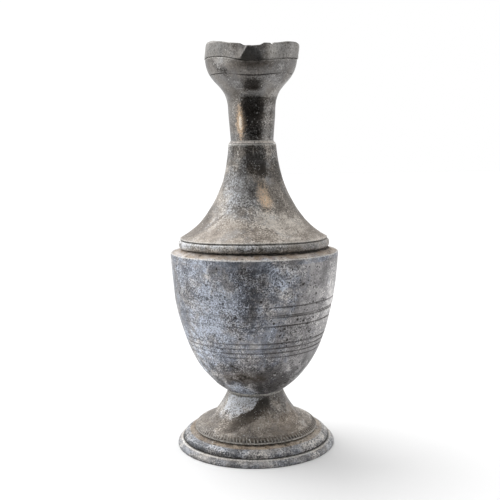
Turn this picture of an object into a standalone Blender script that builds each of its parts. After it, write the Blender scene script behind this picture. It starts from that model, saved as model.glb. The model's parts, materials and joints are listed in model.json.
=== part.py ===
"""Pewter ewer, made as such a vessel is made: cast sections, turned true, spigoted together and soldered.

Metres, +Z up. Every piece is turned about Z, the ewer stands on z = 0 and it pours towards -Y.
"""

import math

import bpy

# Turning and fits
TURN_STEPS = 40  # flats round every turned piece
CURVE_STEPS = 8  # straight runs along a full curve of an outline
ROUND_STEPS = 3  # straight runs round a rounded corner
FIT_GAP = 0.0003  # clearance between two pieces that meet
MERGE = 0.00001  # joins the first and last turning step

# Base ring
BASE_RADIUS = 0.0600
BASE_HEIGHT = 0.0050
BASE_WIDTH = 0.0100
BASE_BEVEL_WIDTH = 0.0028  # sloping upper side of the ring
BASE_BEVEL_DROP = 0.0034
BASE_CHAMFER = 0.0006
BASE_REBATE = 0.0016  # depth of the seat for the upper ring
BASE_SEAM = 0.0022  # leg of the solder fillet between the two rings

# Upper ring: a rounded moulding with a cove inside it
BASE_LEDGE = 0.0044  # how far the base ring stands out beyond the moulding
UPPER_HEIGHT = 0.0057
MOULDING_WIDTH = 0.0052
MOULDING_TUCK = 0.0004  # how far the moulding draws in again at its foot
MOULDING_TOP_PULL = (0.0024, -0.0009)
MOULDING_FOOT_PULL = (0.0010, 0.0018)
COVE_WIDTH = 0.0037
COVE_DEPTH = 0.0005
STEM_SEAT_WIDTH = 0.0050  # inner flange that the stem's spigot stands on
STEM_SEAM = 0.0022

# Stem: a hollow flare that rounds over into the milled rim
STEM_RIM_LIFT = 0.0026  # open gap between the cove and the rim's underside
STEM_RIM_OVERHANG = 0.0017
STEM_SPIGOT = 0.0040
STEM_WALL = 0.0024
STEM_HEIGHT = 0.0282
STEM_TURN_IN = 0.0108  # from the rim in to where the flare turns convex
STEM_TURN_RISE = 0.0069
STEM_TOP_PULL = (0.0015, -0.0050)
STEM_FLARE_PULL = (-0.0055, 0.0026)
STEM_ROUND_PULL = (0.0049, -0.0023)
STEM_RIM_PULL = (0.0, 0.0035)
WAIST_RADIUS = 0.0210
WAIST_SEAM = 0.0010
SEAM_BULGE = 0.0002

# Bowl, with the boss that stands in the stem
BOWL_RADIUS = 0.0629
BOWL_HEIGHT = 0.1018
BOWL_WALL = 0.0022
BOWL_FLOOR = 0.0030
BOWL_FOOT_STEP = 0.0014  # how far the bowl's foot stands out beyond the waist
BOWL_RIM_PULL = (-0.0050, -0.0816)
BOWL_FOOT_PULL = (0.0082, 0.0073)
BOSS_STEP = 0.0040  # from the waist in to the boss
BOSS_DEPTH = 0.0060
SOCKET_LIP = 0.0050  # from the boss in to the hole under it
SOCKET_FLOOR = 0.0025

# Ledge ring on the bowl
LEDGE_WIDTH = 0.0065  # from the bowl's side in to the bead
LEDGE_BAND = 0.0025  # upright side of the ring
LEDGE_RISE = 0.0038
LEDGE_ROUND = 0.0004
LEDGE_WALL = 0.0030
LEDGE_SPIGOT = 0.0040
LEDGE_SPIGOT_WALL = 0.0020
LEDGE_SEAM = 0.0024

# Shoulder and its bead
BEAD_HEIGHT = 0.0062
BEAD_PROUD = 0.0018  # how far the bead stands out beyond the shoulder
BEAD_ROUND = 0.0024
SHOULDER_HEIGHT = 0.0694
SHOULDER_WALL = 0.0022
SHOULDER_EDGE = 0.0006
SHOULDER_TOP_PULL = (0.0014, -0.0288)
SHOULDER_FOOT_PULL = (-0.0229, 0.0119)
SKIRT_STEP = 0.0014  # from the shoulder's edge in to its skirt
SKIRT_WALL = 0.0020
SKIRT_REACH = 0.0030  # how far the skirt comes out below the ledge ring
SKIRT_SEAM = 0.0024
COLLAR_WALL = 0.0018
NECK_SEAT = 0.0020  # thickness of the step that the neck stands on

# Neck and mouth
NECK_RADIUS = 0.0157
NECK_WALL = 0.0019
NECK_SPIGOT = 0.0090
NECK_LENGTH = 0.0242
NECK_TAPER = 0.0018
NECK_SEAM = 0.0021
NECK_SEAM_WIDTH = 0.0015
MOUTH_RADIUS = 0.0338
CUP_HEIGHT = 0.0368
CUP_ROOT_PULL = (0.0005, 0.0208)
CUP_TOP_PULL = (-0.0026, -0.0180)
CUP_GROOVE_DROP = 0.0109  # from the cup's top down to its turned groove
CUP_GROOVE_HALF = 0.0006
CUP_GROOVE_DEPTH = 0.0006
LINER_WALL = 0.0015  # collar of the cup that the band wraps round

# Rim band and pouring lip
RIM_SEAM = 0.0008
RIM_SEAM_DEPTH = 0.0006  # how far the solder lies back in its groove
BAND_HEIGHT = 0.0098
BAND_PROUD = 0.0004
BAND_WALL = 0.0015
BAND_TOP = 0.0021
BAND_ROUND = 0.0011
LIP_HALF_ANGLE = math.radians(50)
LIP_REACH = 0.0030
LIP_DROP = 0.0044
LIP_ROOT = 0.0270  # height, below the cup's top, where the pressing fades out

# Colours from the photo, as linear RGB, with roughness
METALLIC = 0.9
PEWTER_WARM = ((0.30, 0.27, 0.23), 0.42)
PEWTER_TAUPE = ((0.33, 0.30, 0.27), 0.50)
PEWTER_BLUE = ((0.34, 0.36, 0.39), 0.45)
PEWTER_STEEL = ((0.30, 0.31, 0.33), 0.40)
PEWTER_DUSTY = ((0.29, 0.23, 0.17), 0.70)
SOLDER = ((0.52, 0.48, 0.40), 0.55)

# Heights that follow, from the ground up
upper_seat = BASE_HEIGHT - BASE_REBATE + FIT_GAP
upper_top = BASE_HEIGHT + UPPER_HEIGHT
cove_floor = upper_top - COVE_DEPTH
stem_foot = cove_floor - STEM_SPIGOT
stem_rim = cove_floor + STEM_RIM_LIFT
stem_top = stem_rim + STEM_HEIGHT
socket_floor = stem_top - BOSS_DEPTH
waist_seam_foot = stem_top + FIT_GAP
bowl_foot = waist_seam_foot + WAIST_SEAM + FIT_GAP
bowl_top = bowl_foot + BOWL_HEIGHT
ledge_foot = bowl_top + FIT_GAP
ledge_edge = ledge_foot + LEDGE_BAND
ledge_top = ledge_edge + LEDGE_RISE
ledge_under = ledge_top - LEDGE_WALL
ledge_spigot_foot = bowl_top - LEDGE_SPIGOT
bead_foot = ledge_top + FIT_GAP
bead_top = bead_foot + BEAD_HEIGHT
shoulder_under = bead_top + FIT_GAP
shoulder_edge = shoulder_under + SHOULDER_EDGE
shoulder_top = shoulder_edge + SHOULDER_HEIGHT
skirt_foot = ledge_under - SKIRT_REACH
neck_foot = shoulder_top - NECK_SPIGOT
cup_root = shoulder_top + NECK_LENGTH
cup_top = cup_root + CUP_HEIGHT
rim_seam_foot = cup_top + FIT_GAP
band_foot = rim_seam_foot + RIM_SEAM + FIT_GAP
rim_top = band_foot + BAND_HEIGHT
liner_top = rim_top - BAND_TOP - FIT_GAP

# Radii that follow
upper_radius = BASE_RADIUS - BASE_LEDGE
upper_foot_radius = upper_radius - MOULDING_TUCK
moulding_top_radius = upper_radius - MOULDING_WIDTH
base_bore = BASE_RADIUS - BASE_WIDTH
stem_rim_radius = moulding_top_radius - COVE_WIDTH
stem_neck_radius = stem_rim_radius - STEM_RIM_OVERHANG
stem_bore = stem_neck_radius - STEM_WALL
stem_seat_bore = stem_neck_radius + FIT_GAP - STEM_SEAT_WIDTH
boss_radius = WAIST_RADIUS - BOSS_STEP
socket_hole = boss_radius - SOCKET_LIP
bowl_foot_radius = WAIST_RADIUS + BOWL_FOOT_STEP
bead_radius = BOWL_RADIUS - LEDGE_WIDTH
shoulder_radius = bead_radius - BEAD_PROUD
skirt_radius = shoulder_radius - SKIRT_STEP
collar_bore = NECK_RADIUS + FIT_GAP
collar_radius = collar_bore + COLLAR_WALL
neck_bore = NECK_RADIUS - NECK_WALL
rim_radius = MOUTH_RADIUS + BAND_PROUD
band_bore = rim_radius - BAND_WALL
liner_radius = band_bore - FIT_GAP
liner_bore = liner_radius - LINER_WALL


# Outlines: (radius, height) points, run down the outer side and back up the inner side

def curve(start, start_pull, end, end_pull):
    """A smooth curve that leaves start along start_pull and comes into end from end_pull."""
    first = (start[0] + start_pull[0], start[1] + start_pull[1])
    second = (end[0] + end_pull[0], end[1] + end_pull[1])
    points = []
    for step in range(CURVE_STEPS + 1):
        t = step / CURVE_STEPS
        weights = ((1 - t) ** 3, 3 * t * (1 - t) ** 2, 3 * t * t * (1 - t), t**3)
        handles = (start, first, second, end)
        points.append(tuple(sum(w * h[axis] for w, h in zip(weights, handles)) for axis in (0, 1)))
    return points


def rounded(start, corner, end):
    """A corner rounded between start and end."""
    points = []
    for step in range(ROUND_STEPS + 1):
        t = step / ROUND_STEPS
        weights = ((1 - t) ** 2, 2 * t * (1 - t), t * t)
        handles = (start, corner, end)
        points.append(tuple(sum(w * h[axis] for w, h in zip(weights, handles)) for axis in (0, 1)))
    return points


def inset(points, wall):
    """The same run moved square to itself by the wall's thickness, to the inner side."""
    moved = []
    for i, (radius, height) in enumerate(points):
        before, after = points[max(i - 1, 0)], points[min(i + 1, len(points) - 1)]
        run_r, run_z = after[0] - before[0], after[1] - before[1]
        length = math.hypot(run_r, run_z)
        moved.append((radius + wall * run_z / length, height - wall * run_r / length))
    return moved


def between(points, axis, low, high):
    """The stretch whose radius (axis 0) or height (axis 1) lies from low to high, cut exactly there."""
    kept = []
    for i, point in enumerate(points):
        if i:
            last = points[i - 1]
            cuts = [c for c in (low, high) if min(last[axis], point[axis]) < c < max(last[axis], point[axis])]
            for cut in sorted(cuts, key=lambda c: abs(c - last[axis])):
                share = (cut - last[axis]) / (point[axis] - last[axis])
                kept.append(tuple(a + share * (b - a) for a, b in zip(last, point)))
        if low <= point[axis] <= high:
            kept.append(point)
    return kept


def radius_at(points, height):
    """The radius where a descending run passes a height."""
    return between(points, 1, height, math.inf)[-1][0]


def up(points):
    """A run turned round, to go up the inner side."""
    return points[::-1]


# Blender objects

def clear_scene():
    for obj in list(bpy.data.objects):
        bpy.data.objects.remove(obj, do_unlink=True)


def pewter(name, finish):
    """A metal of the given colour and roughness."""
    (red, green, blue), roughness = finish
    material = bpy.data.materials.new(name)
    material.use_nodes = True
    shader = material.node_tree.nodes["Principled BSDF"]
    shader.inputs["Base Color"].default_value = (red, green, blue, 1.0)
    shader.inputs["Metallic"].default_value = METALLIC
    shader.inputs["Roughness"].default_value = roughness
    material.diffuse_color = (red, green, blue, 1.0)
    return material


def turned(name, outline, seat, finish, closed=True):
    """One piece turned from its outline; its origin is on the axis at the height of its seat."""
    mesh = bpy.data.meshes.new(name)
    points = [(radius, 0.0, height - seat) for radius, height in outline]
    edges = [(i, i + 1) for i in range(len(points) - 1)]
    if closed:
        edges.append((len(points) - 1, 0))
    mesh.from_pydata(points, edges, [])
    mesh.materials.append(pewter(name, finish))
    piece = bpy.data.objects.new(name, mesh)
    ewer.objects.link(piece)
    piece.parent = spindle
    piece.location.z = seat
    screw = piece.modifiers.new("turning", "SCREW")
    screw.axis = "Z"
    screw.angle = 2 * math.pi
    screw.steps = screw.render_steps = TURN_STEPS
    screw.use_merge_vertices = True
    screw.merge_threshold = MERGE
    screw.use_smooth_shade = True
    return piece


def lip_share(x, y, height):
    """How fully a point of the mouth takes part in the pressed lip, from 0 to 1."""
    off_centre = abs(math.atan2(x, -y))
    if off_centre >= LIP_HALF_ANGLE:
        return 0.0
    across = math.cos(math.pi / 2 * off_centre / LIP_HALF_ANGLE) ** 2
    climb = min(max((height - cup_top + LIP_ROOT) / LIP_ROOT, 0.0), 1.0)
    return across * climb * climb * (3 - 2 * climb)


def press_lip(piece):
    """Makes the turned mesh final, then bends its front out and down into the pouring lip."""
    bpy.context.view_layer.update()
    graph = bpy.context.evaluated_depsgraph_get()
    pressed = bpy.data.meshes.new_from_object(piece.evaluated_get(graph))
    piece.modifiers.clear()
    piece.data = pressed
    seat = piece.location.z
    for vertex in pressed.vertices:
        x, y, z = vertex.co
        share = lip_share(x, y, z + seat)
        radius = math.hypot(x, y)
        reach = 1 + share * LIP_REACH / radius
        vertex.co = (x * reach, y * reach, z - share * LIP_DROP)


# Pieces of the foot

def foot_base_ring():
    rebate_radius = upper_foot_radius + FIT_GAP
    rebate_floor = BASE_HEIGHT - BASE_REBATE
    outline = [(rebate_radius, BASE_HEIGHT), (BASE_RADIUS - BASE_BEVEL_WIDTH, BASE_HEIGHT)]
    outline += [(BASE_RADIUS, BASE_HEIGHT - BASE_BEVEL_DROP)]
    outline += [(BASE_RADIUS, BASE_CHAMFER), (BASE_RADIUS - BASE_CHAMFER, 0.0)]
    outline += [(base_bore, 0.0), (base_bore, rebate_floor), (rebate_radius, rebate_floor)]
    turned("foot_base_ring", outline, 0.0, PEWTER_STEEL)


def foot_upper_ring():
    seat_bore = stem_neck_radius + FIT_GAP
    seat_floor = stem_foot - FIT_GAP
    outline = [(seat_bore, cove_floor), ((seat_bore + moulding_top_radius) / 2, cove_floor)]
    moulding_top = (moulding_top_radius, upper_top)
    outline += curve(moulding_top, MOULDING_TOP_PULL, (upper_foot_radius, BASE_HEIGHT), MOULDING_FOOT_PULL)
    outline += [(upper_foot_radius, upper_seat), (stem_seat_bore, upper_seat)]
    outline += [(stem_seat_bore, seat_floor), (seat_bore, seat_floor)]
    turned("foot_upper_ring", outline, upper_seat, PEWTER_STEEL)


def base_solder_seam():
    corner_radius = base_bore - FIT_GAP
    corner_height = upper_seat - FIT_GAP
    outline = [(corner_radius, corner_height), (corner_radius, corner_height - BASE_SEAM)]
    outline += [(corner_radius - BASE_SEAM, corner_height)]
    turned("base_solder_seam", outline, corner_height, SOLDER)


def stem_solder_seam():
    corner_radius = stem_bore - FIT_GAP
    outline = [(corner_radius, stem_foot + STEM_SEAM), (corner_radius, stem_foot)]
    outline += [(corner_radius - STEM_SEAM, stem_foot)]
    turned("stem_solder_seam", outline, stem_foot, SOLDER)


def foot_stem():
    turn = (stem_rim_radius - STEM_TURN_IN, stem_rim + STEM_TURN_RISE)
    flare = curve((WAIST_RADIUS, stem_top), STEM_TOP_PULL, turn, STEM_FLARE_PULL)
    rim = curve(turn, STEM_ROUND_PULL, (stem_rim_radius, stem_rim), STEM_RIM_PULL)
    outer = flare + rim[1:]
    ceiling = socket_floor - SOCKET_FLOOR
    inner = between(between(inset(outer, STEM_WALL), 1, stem_rim, ceiling), 0, socket_hole, stem_bore)
    socket_radius = boss_radius + FIT_GAP
    outline = [(socket_radius, stem_top)] + outer
    outline += [(stem_neck_radius, stem_rim), (stem_neck_radius, stem_foot), (stem_bore, stem_foot)]
    outline += up(inner)
    outline += [(socket_hole, ceiling), (socket_hole, socket_floor), (socket_radius, socket_floor)]
    turned("foot_stem", outline, stem_foot, PEWTER_TAUPE)


def waist_solder_seam():
    hole = boss_radius + FIT_GAP
    middle = waist_seam_foot + WAIST_SEAM / 2
    top = waist_seam_foot + WAIST_SEAM
    outline = [(WAIST_RADIUS, top), (WAIST_RADIUS + SEAM_BULGE, middle), (WAIST_RADIUS, waist_seam_foot)]
    outline += [(hole, waist_seam_foot), (hole, top)]
    turned("waist_solder_seam", outline, waist_seam_foot, SOLDER)


# Pieces of the body

def bowl_side():
    """The bowl's outer side, from its rim to its foot."""
    rim = (BOWL_RADIUS, bowl_top)
    return curve(rim, BOWL_RIM_PULL, (bowl_foot_radius, bowl_foot), BOWL_FOOT_PULL)


def bowl_lining():
    """The bowl's inner side, from its rim to its floor."""
    lining = inset(bowl_side(), BOWL_WALL)
    lining[0] = (lining[0][0], bowl_top)
    return between(lining, 1, bowl_foot + BOWL_FLOOR, bowl_top)


def bowl():
    boss_foot = socket_floor + FIT_GAP
    outline = [(0.0, bowl_foot + BOWL_FLOOR)] + up(bowl_lining()) + bowl_side()
    outline += [(boss_radius, bowl_foot), (boss_radius, boss_foot), (0.0, boss_foot)]
    turned("bowl", outline, bowl_foot, PEWTER_BLUE, closed=False)


def ledge_ring():
    bore = skirt_radius + FIT_GAP
    spigot_radius = radius_at(bowl_lining(), ledge_spigot_foot) - FIT_GAP
    spigot_bore = spigot_radius - LEDGE_SPIGOT_WALL
    outline = [(bore, ledge_top), (bead_radius, ledge_top)]
    outline += rounded(
        (BOWL_RADIUS - LEDGE_ROUND, ledge_edge),
        (BOWL_RADIUS, ledge_edge),
        (BOWL_RADIUS, ledge_edge - LEDGE_ROUND),
    )
    outline += [(BOWL_RADIUS, ledge_foot), (spigot_radius, ledge_foot)]
    outline += [(spigot_radius, ledge_spigot_foot), (spigot_bore, ledge_spigot_foot)]
    outline += [(spigot_bore, ledge_under), (bore, ledge_under)]
    turned("ledge_ring", outline, ledge_foot, PEWTER_DUSTY)


def ledge_solder_seam():
    top = ledge_spigot_foot - FIT_GAP
    top_radius = radius_at(bowl_lining(), top) - FIT_GAP
    foot_radius = radius_at(bowl_lining(), top - LEDGE_SEAM) - FIT_GAP
    outline = [(top_radius, top), (foot_radius, top - LEDGE_SEAM), (top_radius - LEDGE_SEAM, top)]
    turned("ledge_solder_seam", outline, top, SOLDER)


def shoulder_solder_seam():
    top = ledge_under - FIT_GAP
    inner = skirt_radius + FIT_GAP
    outline = [(inner, top), (inner + SKIRT_SEAM, top), (inner, top - SKIRT_SEAM)]
    turned("shoulder_solder_seam", outline, top, SOLDER)


def shoulder_bead():
    bore = skirt_radius + FIT_GAP
    outline = [(bore, bead_top)]
    outline += rounded(
        (bead_radius - BEAD_ROUND, bead_top), (bead_radius, bead_top), (bead_radius, bead_top - BEAD_ROUND)
    )
    outline += rounded(
        (bead_radius, bead_foot + BEAD_ROUND), (bead_radius, bead_foot), (bead_radius - BEAD_ROUND, bead_foot)
    )
    outline += [(bore, bead_foot)]
    turned("shoulder_bead", outline, bead_foot, PEWTER_TAUPE)


def shoulder():
    side = curve(
        (collar_radius, shoulder_top), SHOULDER_TOP_PULL, (shoulder_radius, shoulder_edge), SHOULDER_FOOT_PULL
    )
    seat_under = neck_foot - FIT_GAP - NECK_SEAT
    skirt_bore = skirt_radius - SKIRT_WALL
    lining = between(between(inset(side, SHOULDER_WALL), 1, skirt_foot, seat_under), 0, 0.0, skirt_bore)
    outline = [(collar_bore, shoulder_top)] + side
    outline += [(shoulder_radius, shoulder_under), (skirt_radius, shoulder_under)]
    outline += [(skirt_radius, skirt_foot), (skirt_bore, skirt_foot)]
    outline += up(lining)
    outline += [(neck_bore, seat_under), (neck_bore, neck_foot - FIT_GAP), (collar_bore, neck_foot - FIT_GAP)]
    turned("shoulder", outline, skirt_foot, PEWTER_TAUPE)


# Pieces of the neck and mouth

def neck_solder_seam():
    inner = NECK_RADIUS + FIT_GAP + NECK_TAPER * NECK_SEAM / NECK_LENGTH
    foot = shoulder_top + FIT_GAP
    outline = [(inner, foot + NECK_SEAM), (inner + NECK_SEAM_WIDTH, foot), (inner, foot)]
    turned("neck_solder_seam", outline, foot, SOLDER)


def grooved(side, height):
    """The cup's side with a turned groove cut into it at a height."""
    upper = between(side, 1, height + CUP_GROOVE_HALF, math.inf)
    lower = between(side, 1, -math.inf, height - CUP_GROOVE_HALF)
    return upper + [(radius_at(side, height) - CUP_GROOVE_DEPTH, height)] + lower


def mouth_and_neck():
    root_radius = NECK_RADIUS + NECK_TAPER
    root_bore = root_radius - NECK_WALL
    side = curve((MOUTH_RADIUS, cup_top), CUP_TOP_PULL, (root_radius, cup_root), CUP_ROOT_PULL)
    lining = curve((liner_bore, cup_top), CUP_TOP_PULL, (root_bore, cup_root), CUP_ROOT_PULL)
    outline = [(liner_bore, liner_top), (liner_radius, liner_top), (liner_radius, cup_top)]
    outline += grooved(side, cup_top - CUP_GROOVE_DROP)
    outline += [(NECK_RADIUS, shoulder_top), (NECK_RADIUS, neck_foot)]
    outline += [(neck_bore, neck_foot), (neck_bore, shoulder_top)]
    outline += up(lining)
    press_lip(turned("mouth_and_neck", outline, neck_foot, PEWTER_WARM))


def rim_solder_seam():
    inner = liner_radius + FIT_GAP
    outer = MOUTH_RADIUS - RIM_SEAM_DEPTH
    top = rim_seam_foot + RIM_SEAM
    outline = [(inner, top), (outer, top), (outer, rim_seam_foot), (inner, rim_seam_foot)]
    press_lip(turned("rim_solder_seam", outline, rim_seam_foot, SOLDER))


def rim_band():
    fold = liner_top + FIT_GAP
    outline = rounded(
        (liner_bore, rim_top - BAND_ROUND), (liner_bore, rim_top), (liner_bore + BAND_ROUND, rim_top)
    )
    outline += rounded(
        (rim_radius - BAND_ROUND, rim_top), (rim_radius, rim_top), (rim_radius, rim_top - BAND_ROUND)
    )
    outline += [(rim_radius, band_foot), (band_bore, band_foot), (band_bore, fold), (liner_bore, fold)]
    press_lip(turned("rim_band", outline, band_foot, PEWTER_WARM))


clear_scene()
ewer = bpy.data.collections.new("pewter_ewer")
bpy.context.scene.collection.children.link(ewer)
spindle = bpy.data.objects.new("ewer_axis", None)
ewer.objects.link(spindle)

foot_base_ring()
foot_upper_ring()
base_solder_seam()
stem_solder_seam()
foot_stem()
waist_solder_seam()
bowl()
ledge_ring()
ledge_solder_seam()
shoulder_solder_seam()
shoulder_bead()
shoulder()
neck_solder_seam()
mouth_and_neck()
rim_solder_seam()
rim_band()
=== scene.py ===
"""Pewter ewer: worn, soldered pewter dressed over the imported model, on a white table.

Metres, +Z up. Every piece is turned about Z, the ewer stands on z = 0 and it pours towards -Y.
A turn is an angle round the ewer in degrees, 0 at the lip and growing to the viewer's right.
"""

import json
import math

import bpy
import numpy as np
from mathutils import Matrix, Vector

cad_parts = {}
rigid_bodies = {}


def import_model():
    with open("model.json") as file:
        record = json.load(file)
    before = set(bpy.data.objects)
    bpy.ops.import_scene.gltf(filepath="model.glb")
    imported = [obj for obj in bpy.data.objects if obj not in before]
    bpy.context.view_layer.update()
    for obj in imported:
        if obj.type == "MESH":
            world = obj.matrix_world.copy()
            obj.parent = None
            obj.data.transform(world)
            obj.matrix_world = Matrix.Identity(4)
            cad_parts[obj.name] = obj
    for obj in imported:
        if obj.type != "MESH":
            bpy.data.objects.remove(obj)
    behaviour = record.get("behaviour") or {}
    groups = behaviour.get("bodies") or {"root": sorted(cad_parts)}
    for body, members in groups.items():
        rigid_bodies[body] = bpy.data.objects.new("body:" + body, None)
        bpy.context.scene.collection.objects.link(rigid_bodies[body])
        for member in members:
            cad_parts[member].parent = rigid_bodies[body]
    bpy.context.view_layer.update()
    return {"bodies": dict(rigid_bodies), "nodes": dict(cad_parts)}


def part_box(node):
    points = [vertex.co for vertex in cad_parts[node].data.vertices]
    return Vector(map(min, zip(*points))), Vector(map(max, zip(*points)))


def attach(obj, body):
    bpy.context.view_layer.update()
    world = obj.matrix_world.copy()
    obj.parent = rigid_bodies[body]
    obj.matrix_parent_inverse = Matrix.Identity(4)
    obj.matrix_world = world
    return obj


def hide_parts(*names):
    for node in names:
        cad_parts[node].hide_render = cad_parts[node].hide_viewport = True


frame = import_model()

kept = set(frame["nodes"].values()) | set(frame["bodies"].values())
for leftover in [obj for obj in bpy.data.objects if obj not in kept]:
    bpy.data.objects.remove(leftover)


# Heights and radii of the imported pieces

def low(node):
    """Height of a piece's lowest point."""
    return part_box(node)[0].z


def high(node):
    """Height of a piece's highest point."""
    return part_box(node)[1].z


def reach(node):
    """A turned piece's largest radius."""
    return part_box(node)[1].x


FIT_GAP = 0.0003  # clearance between two pieces that meet

# Foot
BASE_WIDTH = 0.0100
BASE_BEVEL_WIDTH = 0.0028
BASE_BEVEL_DROP = 0.0034
BASE_ROUND = 0.0006
BASE_LEDGE = 0.0044
MOULDING_WIDTH = 0.0052
MOULDING_TUCK = 0.0004
MOULDING_TOP_PULL = (0.0024, -0.0009)
MOULDING_FOOT_PULL = (0.0010, 0.0018)
COVE_DEPTH = 0.0005
COVE_FILL = 0.0018  # dust packed into the cove, under the milled rim
STEM_SEAT_WIDTH = 0.0050
STEM_RIM_LIFT = 0.0026
STEM_RIM_OVERHANG = 0.0017
STEM_WALL = 0.0024
STEM_TURN_IN = 0.0108
STEM_TURN_RISE = 0.0069
STEM_TOP_PULL = (0.0015, -0.0050)
STEM_FLARE_PULL = (-0.0055, 0.0026)
STEM_ROUND_PULL = (0.0049, -0.0023)
STEM_RIM_PULL = (0.0, 0.0035)
RIM_LINE = 0.0007  # plain edge left under the milling
MILLED_HEIGHT = 0.0042
MILLED_TICKS = 112
MILLED_DEPTH = 0.0008
SEAM_BULGE = 0.0002
SEAM_LEG = 0.0022

# Body
BOWL_WALL = 0.0022
BOWL_FLOOR = 0.0030
BOWL_FOOT_STEP = 0.0014
BOWL_RIM_PULL = (-0.0050, -0.0816)
BOWL_FOOT_PULL = (0.0082, 0.0073)
BOSS_STEP = 0.0040
SOCKET_LIP = 0.0050
SOCKET_FLOOR = 0.0025
LEDGE_WIDTH = 0.0085
LEDGE_BAND = 0.0036
LEDGE_ROUND = 0.0011
LEDGE_WALL = 0.0030
LEDGE_SPIGOT_WALL = 0.0020
BEAD_ROUND = 0.0028
BEAD_GROOVE = 0.0022  # from the bead's foot up to the fine groove round it
SHOULDER_WALL = 0.0022
SHOULDER_EDGE = 0.0006
SHOULDER_TOP_PULL = (0.0012, -0.0290)
SHOULDER_FOOT_PULL = (-0.0224, 0.0118)
SKIRT_STEP = 0.0014
SKIRT_WALL = 0.0020
SKIRT_LEG = 0.0024
NECK_SEAT = 0.0020

# Neck and mouth
NECK_WALL = 0.0019
NECK_TAPER = 0.0018
NECK_LENGTH = 0.0242
NECK_SEAM_WIDTH = 0.0015
COLLAR_WALL = 0.0018
CUP_HEIGHT = 0.0368
CUP_ROOT_PULL = (0.0005, 0.0208)
CUP_TOP_PULL = (-0.0026, -0.0180)
CUP_GROOVE_DROP = 0.0109
CUP_GROOVE_HALF = 0.0005
CUP_GROOVE_DEPTH = 0.0005
LINER_WALL = 0.0015
RIM_SEAM = 0.0008
RIM_SEAM_DEPTH = 0.0009
BAND_WALL = 0.0015
BAND_TOP = 0.0021
BAND_ROUND = 0.0016
BAND_INNER_ROUND = 0.0009
BAND_EDGE = 0.0003
BAND_DRIP = 0.0009  # the band's outer edge hangs a little over the seam
BAND_DRIP_WIDTH = 0.0010

# What follows from the frame
base_radius = reach("foot_base_ring")
base_top = high("foot_base_ring")
base_bore = base_radius - BASE_WIDTH
upper_seat = low("foot_upper_ring")
upper_top = high("foot_upper_ring")
upper_radius = base_radius - BASE_LEDGE
upper_foot_radius = upper_radius - MOULDING_TUCK
moulding_top_radius = upper_radius - MOULDING_WIDTH
cove_floor = upper_top - COVE_DEPTH
stem_foot = low("foot_stem")
stem_top = high("foot_stem")
stem_rim = cove_floor + STEM_RIM_LIFT
stem_rim_radius = reach("foot_stem")
stem_neck_radius = stem_rim_radius - STEM_RIM_OVERHANG
stem_bore = stem_neck_radius - STEM_WALL
waist_low = low("waist_solder_seam")
waist_high = high("waist_solder_seam")
waist_radius = reach("waist_solder_seam") - SEAM_BULGE
boss_radius = waist_radius - BOSS_STEP
socket_hole = boss_radius - SOCKET_LIP
boss_foot = low("bowl")
bowl_foot = waist_high + FIT_GAP
bowl_top = high("bowl")
bowl_radius = reach("bowl")
bowl_foot_radius = waist_radius + BOWL_FOOT_STEP
ledge_foot = bowl_top + FIT_GAP
ledge_edge = ledge_foot + LEDGE_BAND
ledge_top = high("ledge_ring")
ledge_under = ledge_top - LEDGE_WALL
ledge_spigot_foot = low("ledge_ring")
bead_foot = low("shoulder_bead")
bead_top = high("shoulder_bead")
bead_radius = reach("shoulder_bead")
shoulder_top = high("shoulder")
shoulder_radius = reach("shoulder")
shoulder_under = bead_top + FIT_GAP
shoulder_edge = shoulder_under + SHOULDER_EDGE
skirt_foot = low("shoulder")
skirt_radius = shoulder_radius - SKIRT_STEP
neck_seam_foot = shoulder_top + FIT_GAP
neck_seam_top = high("neck_solder_seam")
neck_seam_bore = reach("neck_solder_seam") - NECK_SEAM_WIDTH
neck_radius = neck_seam_bore - FIT_GAP - NECK_TAPER * (neck_seam_top - neck_seam_foot) / NECK_LENGTH
collar_bore = neck_radius + FIT_GAP
collar_radius = collar_bore + COLLAR_WALL
neck_bore = neck_radius - NECK_WALL
neck_foot = low("mouth_and_neck")
cup_root = shoulder_top + NECK_LENGTH
cup_top = cup_root + CUP_HEIGHT
mouth_radius = reach("mouth_and_neck")
rim_radius = reach("rim_band")
rim_top = high("rim_band")
rim_seam_foot = cup_top + FIT_GAP
band_foot = rim_seam_foot + RIM_SEAM + FIT_GAP
band_bore = rim_radius - BAND_WALL
liner_radius = band_bore - FIT_GAP
liner_bore = liner_radius - LINER_WALL
liner_top = rim_top - BAND_TOP - FIT_GAP
cup_groove = cup_top - CUP_GROOVE_DROP


# Outlines: (radius, height) points, down the outer side and back up the inner side

ROW = 0.0009  # spacing of rows on a side that shows
HIDDEN_ROW = 0.0030
CRISP = 0.00004  # a row this close to an edge keeps it sharp
CORNER_STEPS = 5


def bezier(handles, steps):
    """Points along the curve that three or four handles pull."""
    degree = len(handles) - 1
    points = []
    for step in range(steps + 1):
        t = step / steps
        weights = [math.comb(degree, i) * t**i * (1 - t) ** (degree - i) for i in range(degree + 1)]
        points.append(tuple(sum(w * h[axis] for w, h in zip(weights, handles)) for axis in (0, 1)))
    return points


def curve(start, start_pull, end, end_pull, row=ROW):
    """A smooth curve that leaves start along start_pull and comes into end from end_pull."""
    first = (start[0] + start_pull[0], start[1] + start_pull[1])
    second = (end[0] + end_pull[0], end[1] + end_pull[1])
    handles = (start, first, second, end)
    length = sum(math.dist(a, b) for a, b in zip(handles, handles[1:]))
    return bezier(handles, math.ceil(length / row))


def rounded(start, corner, end):
    """A corner rounded between start and end."""
    return bezier((start, corner, end), CORNER_STEPS)


def straight(start, end, row=ROW):
    """A straight run with a row at every spacing, without its start."""
    steps = math.ceil(math.dist(start, end) / row)
    return [tuple(a + (b - a) * step / steps for a, b in zip(start, end)) for step in range(1, steps + 1)]


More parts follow.
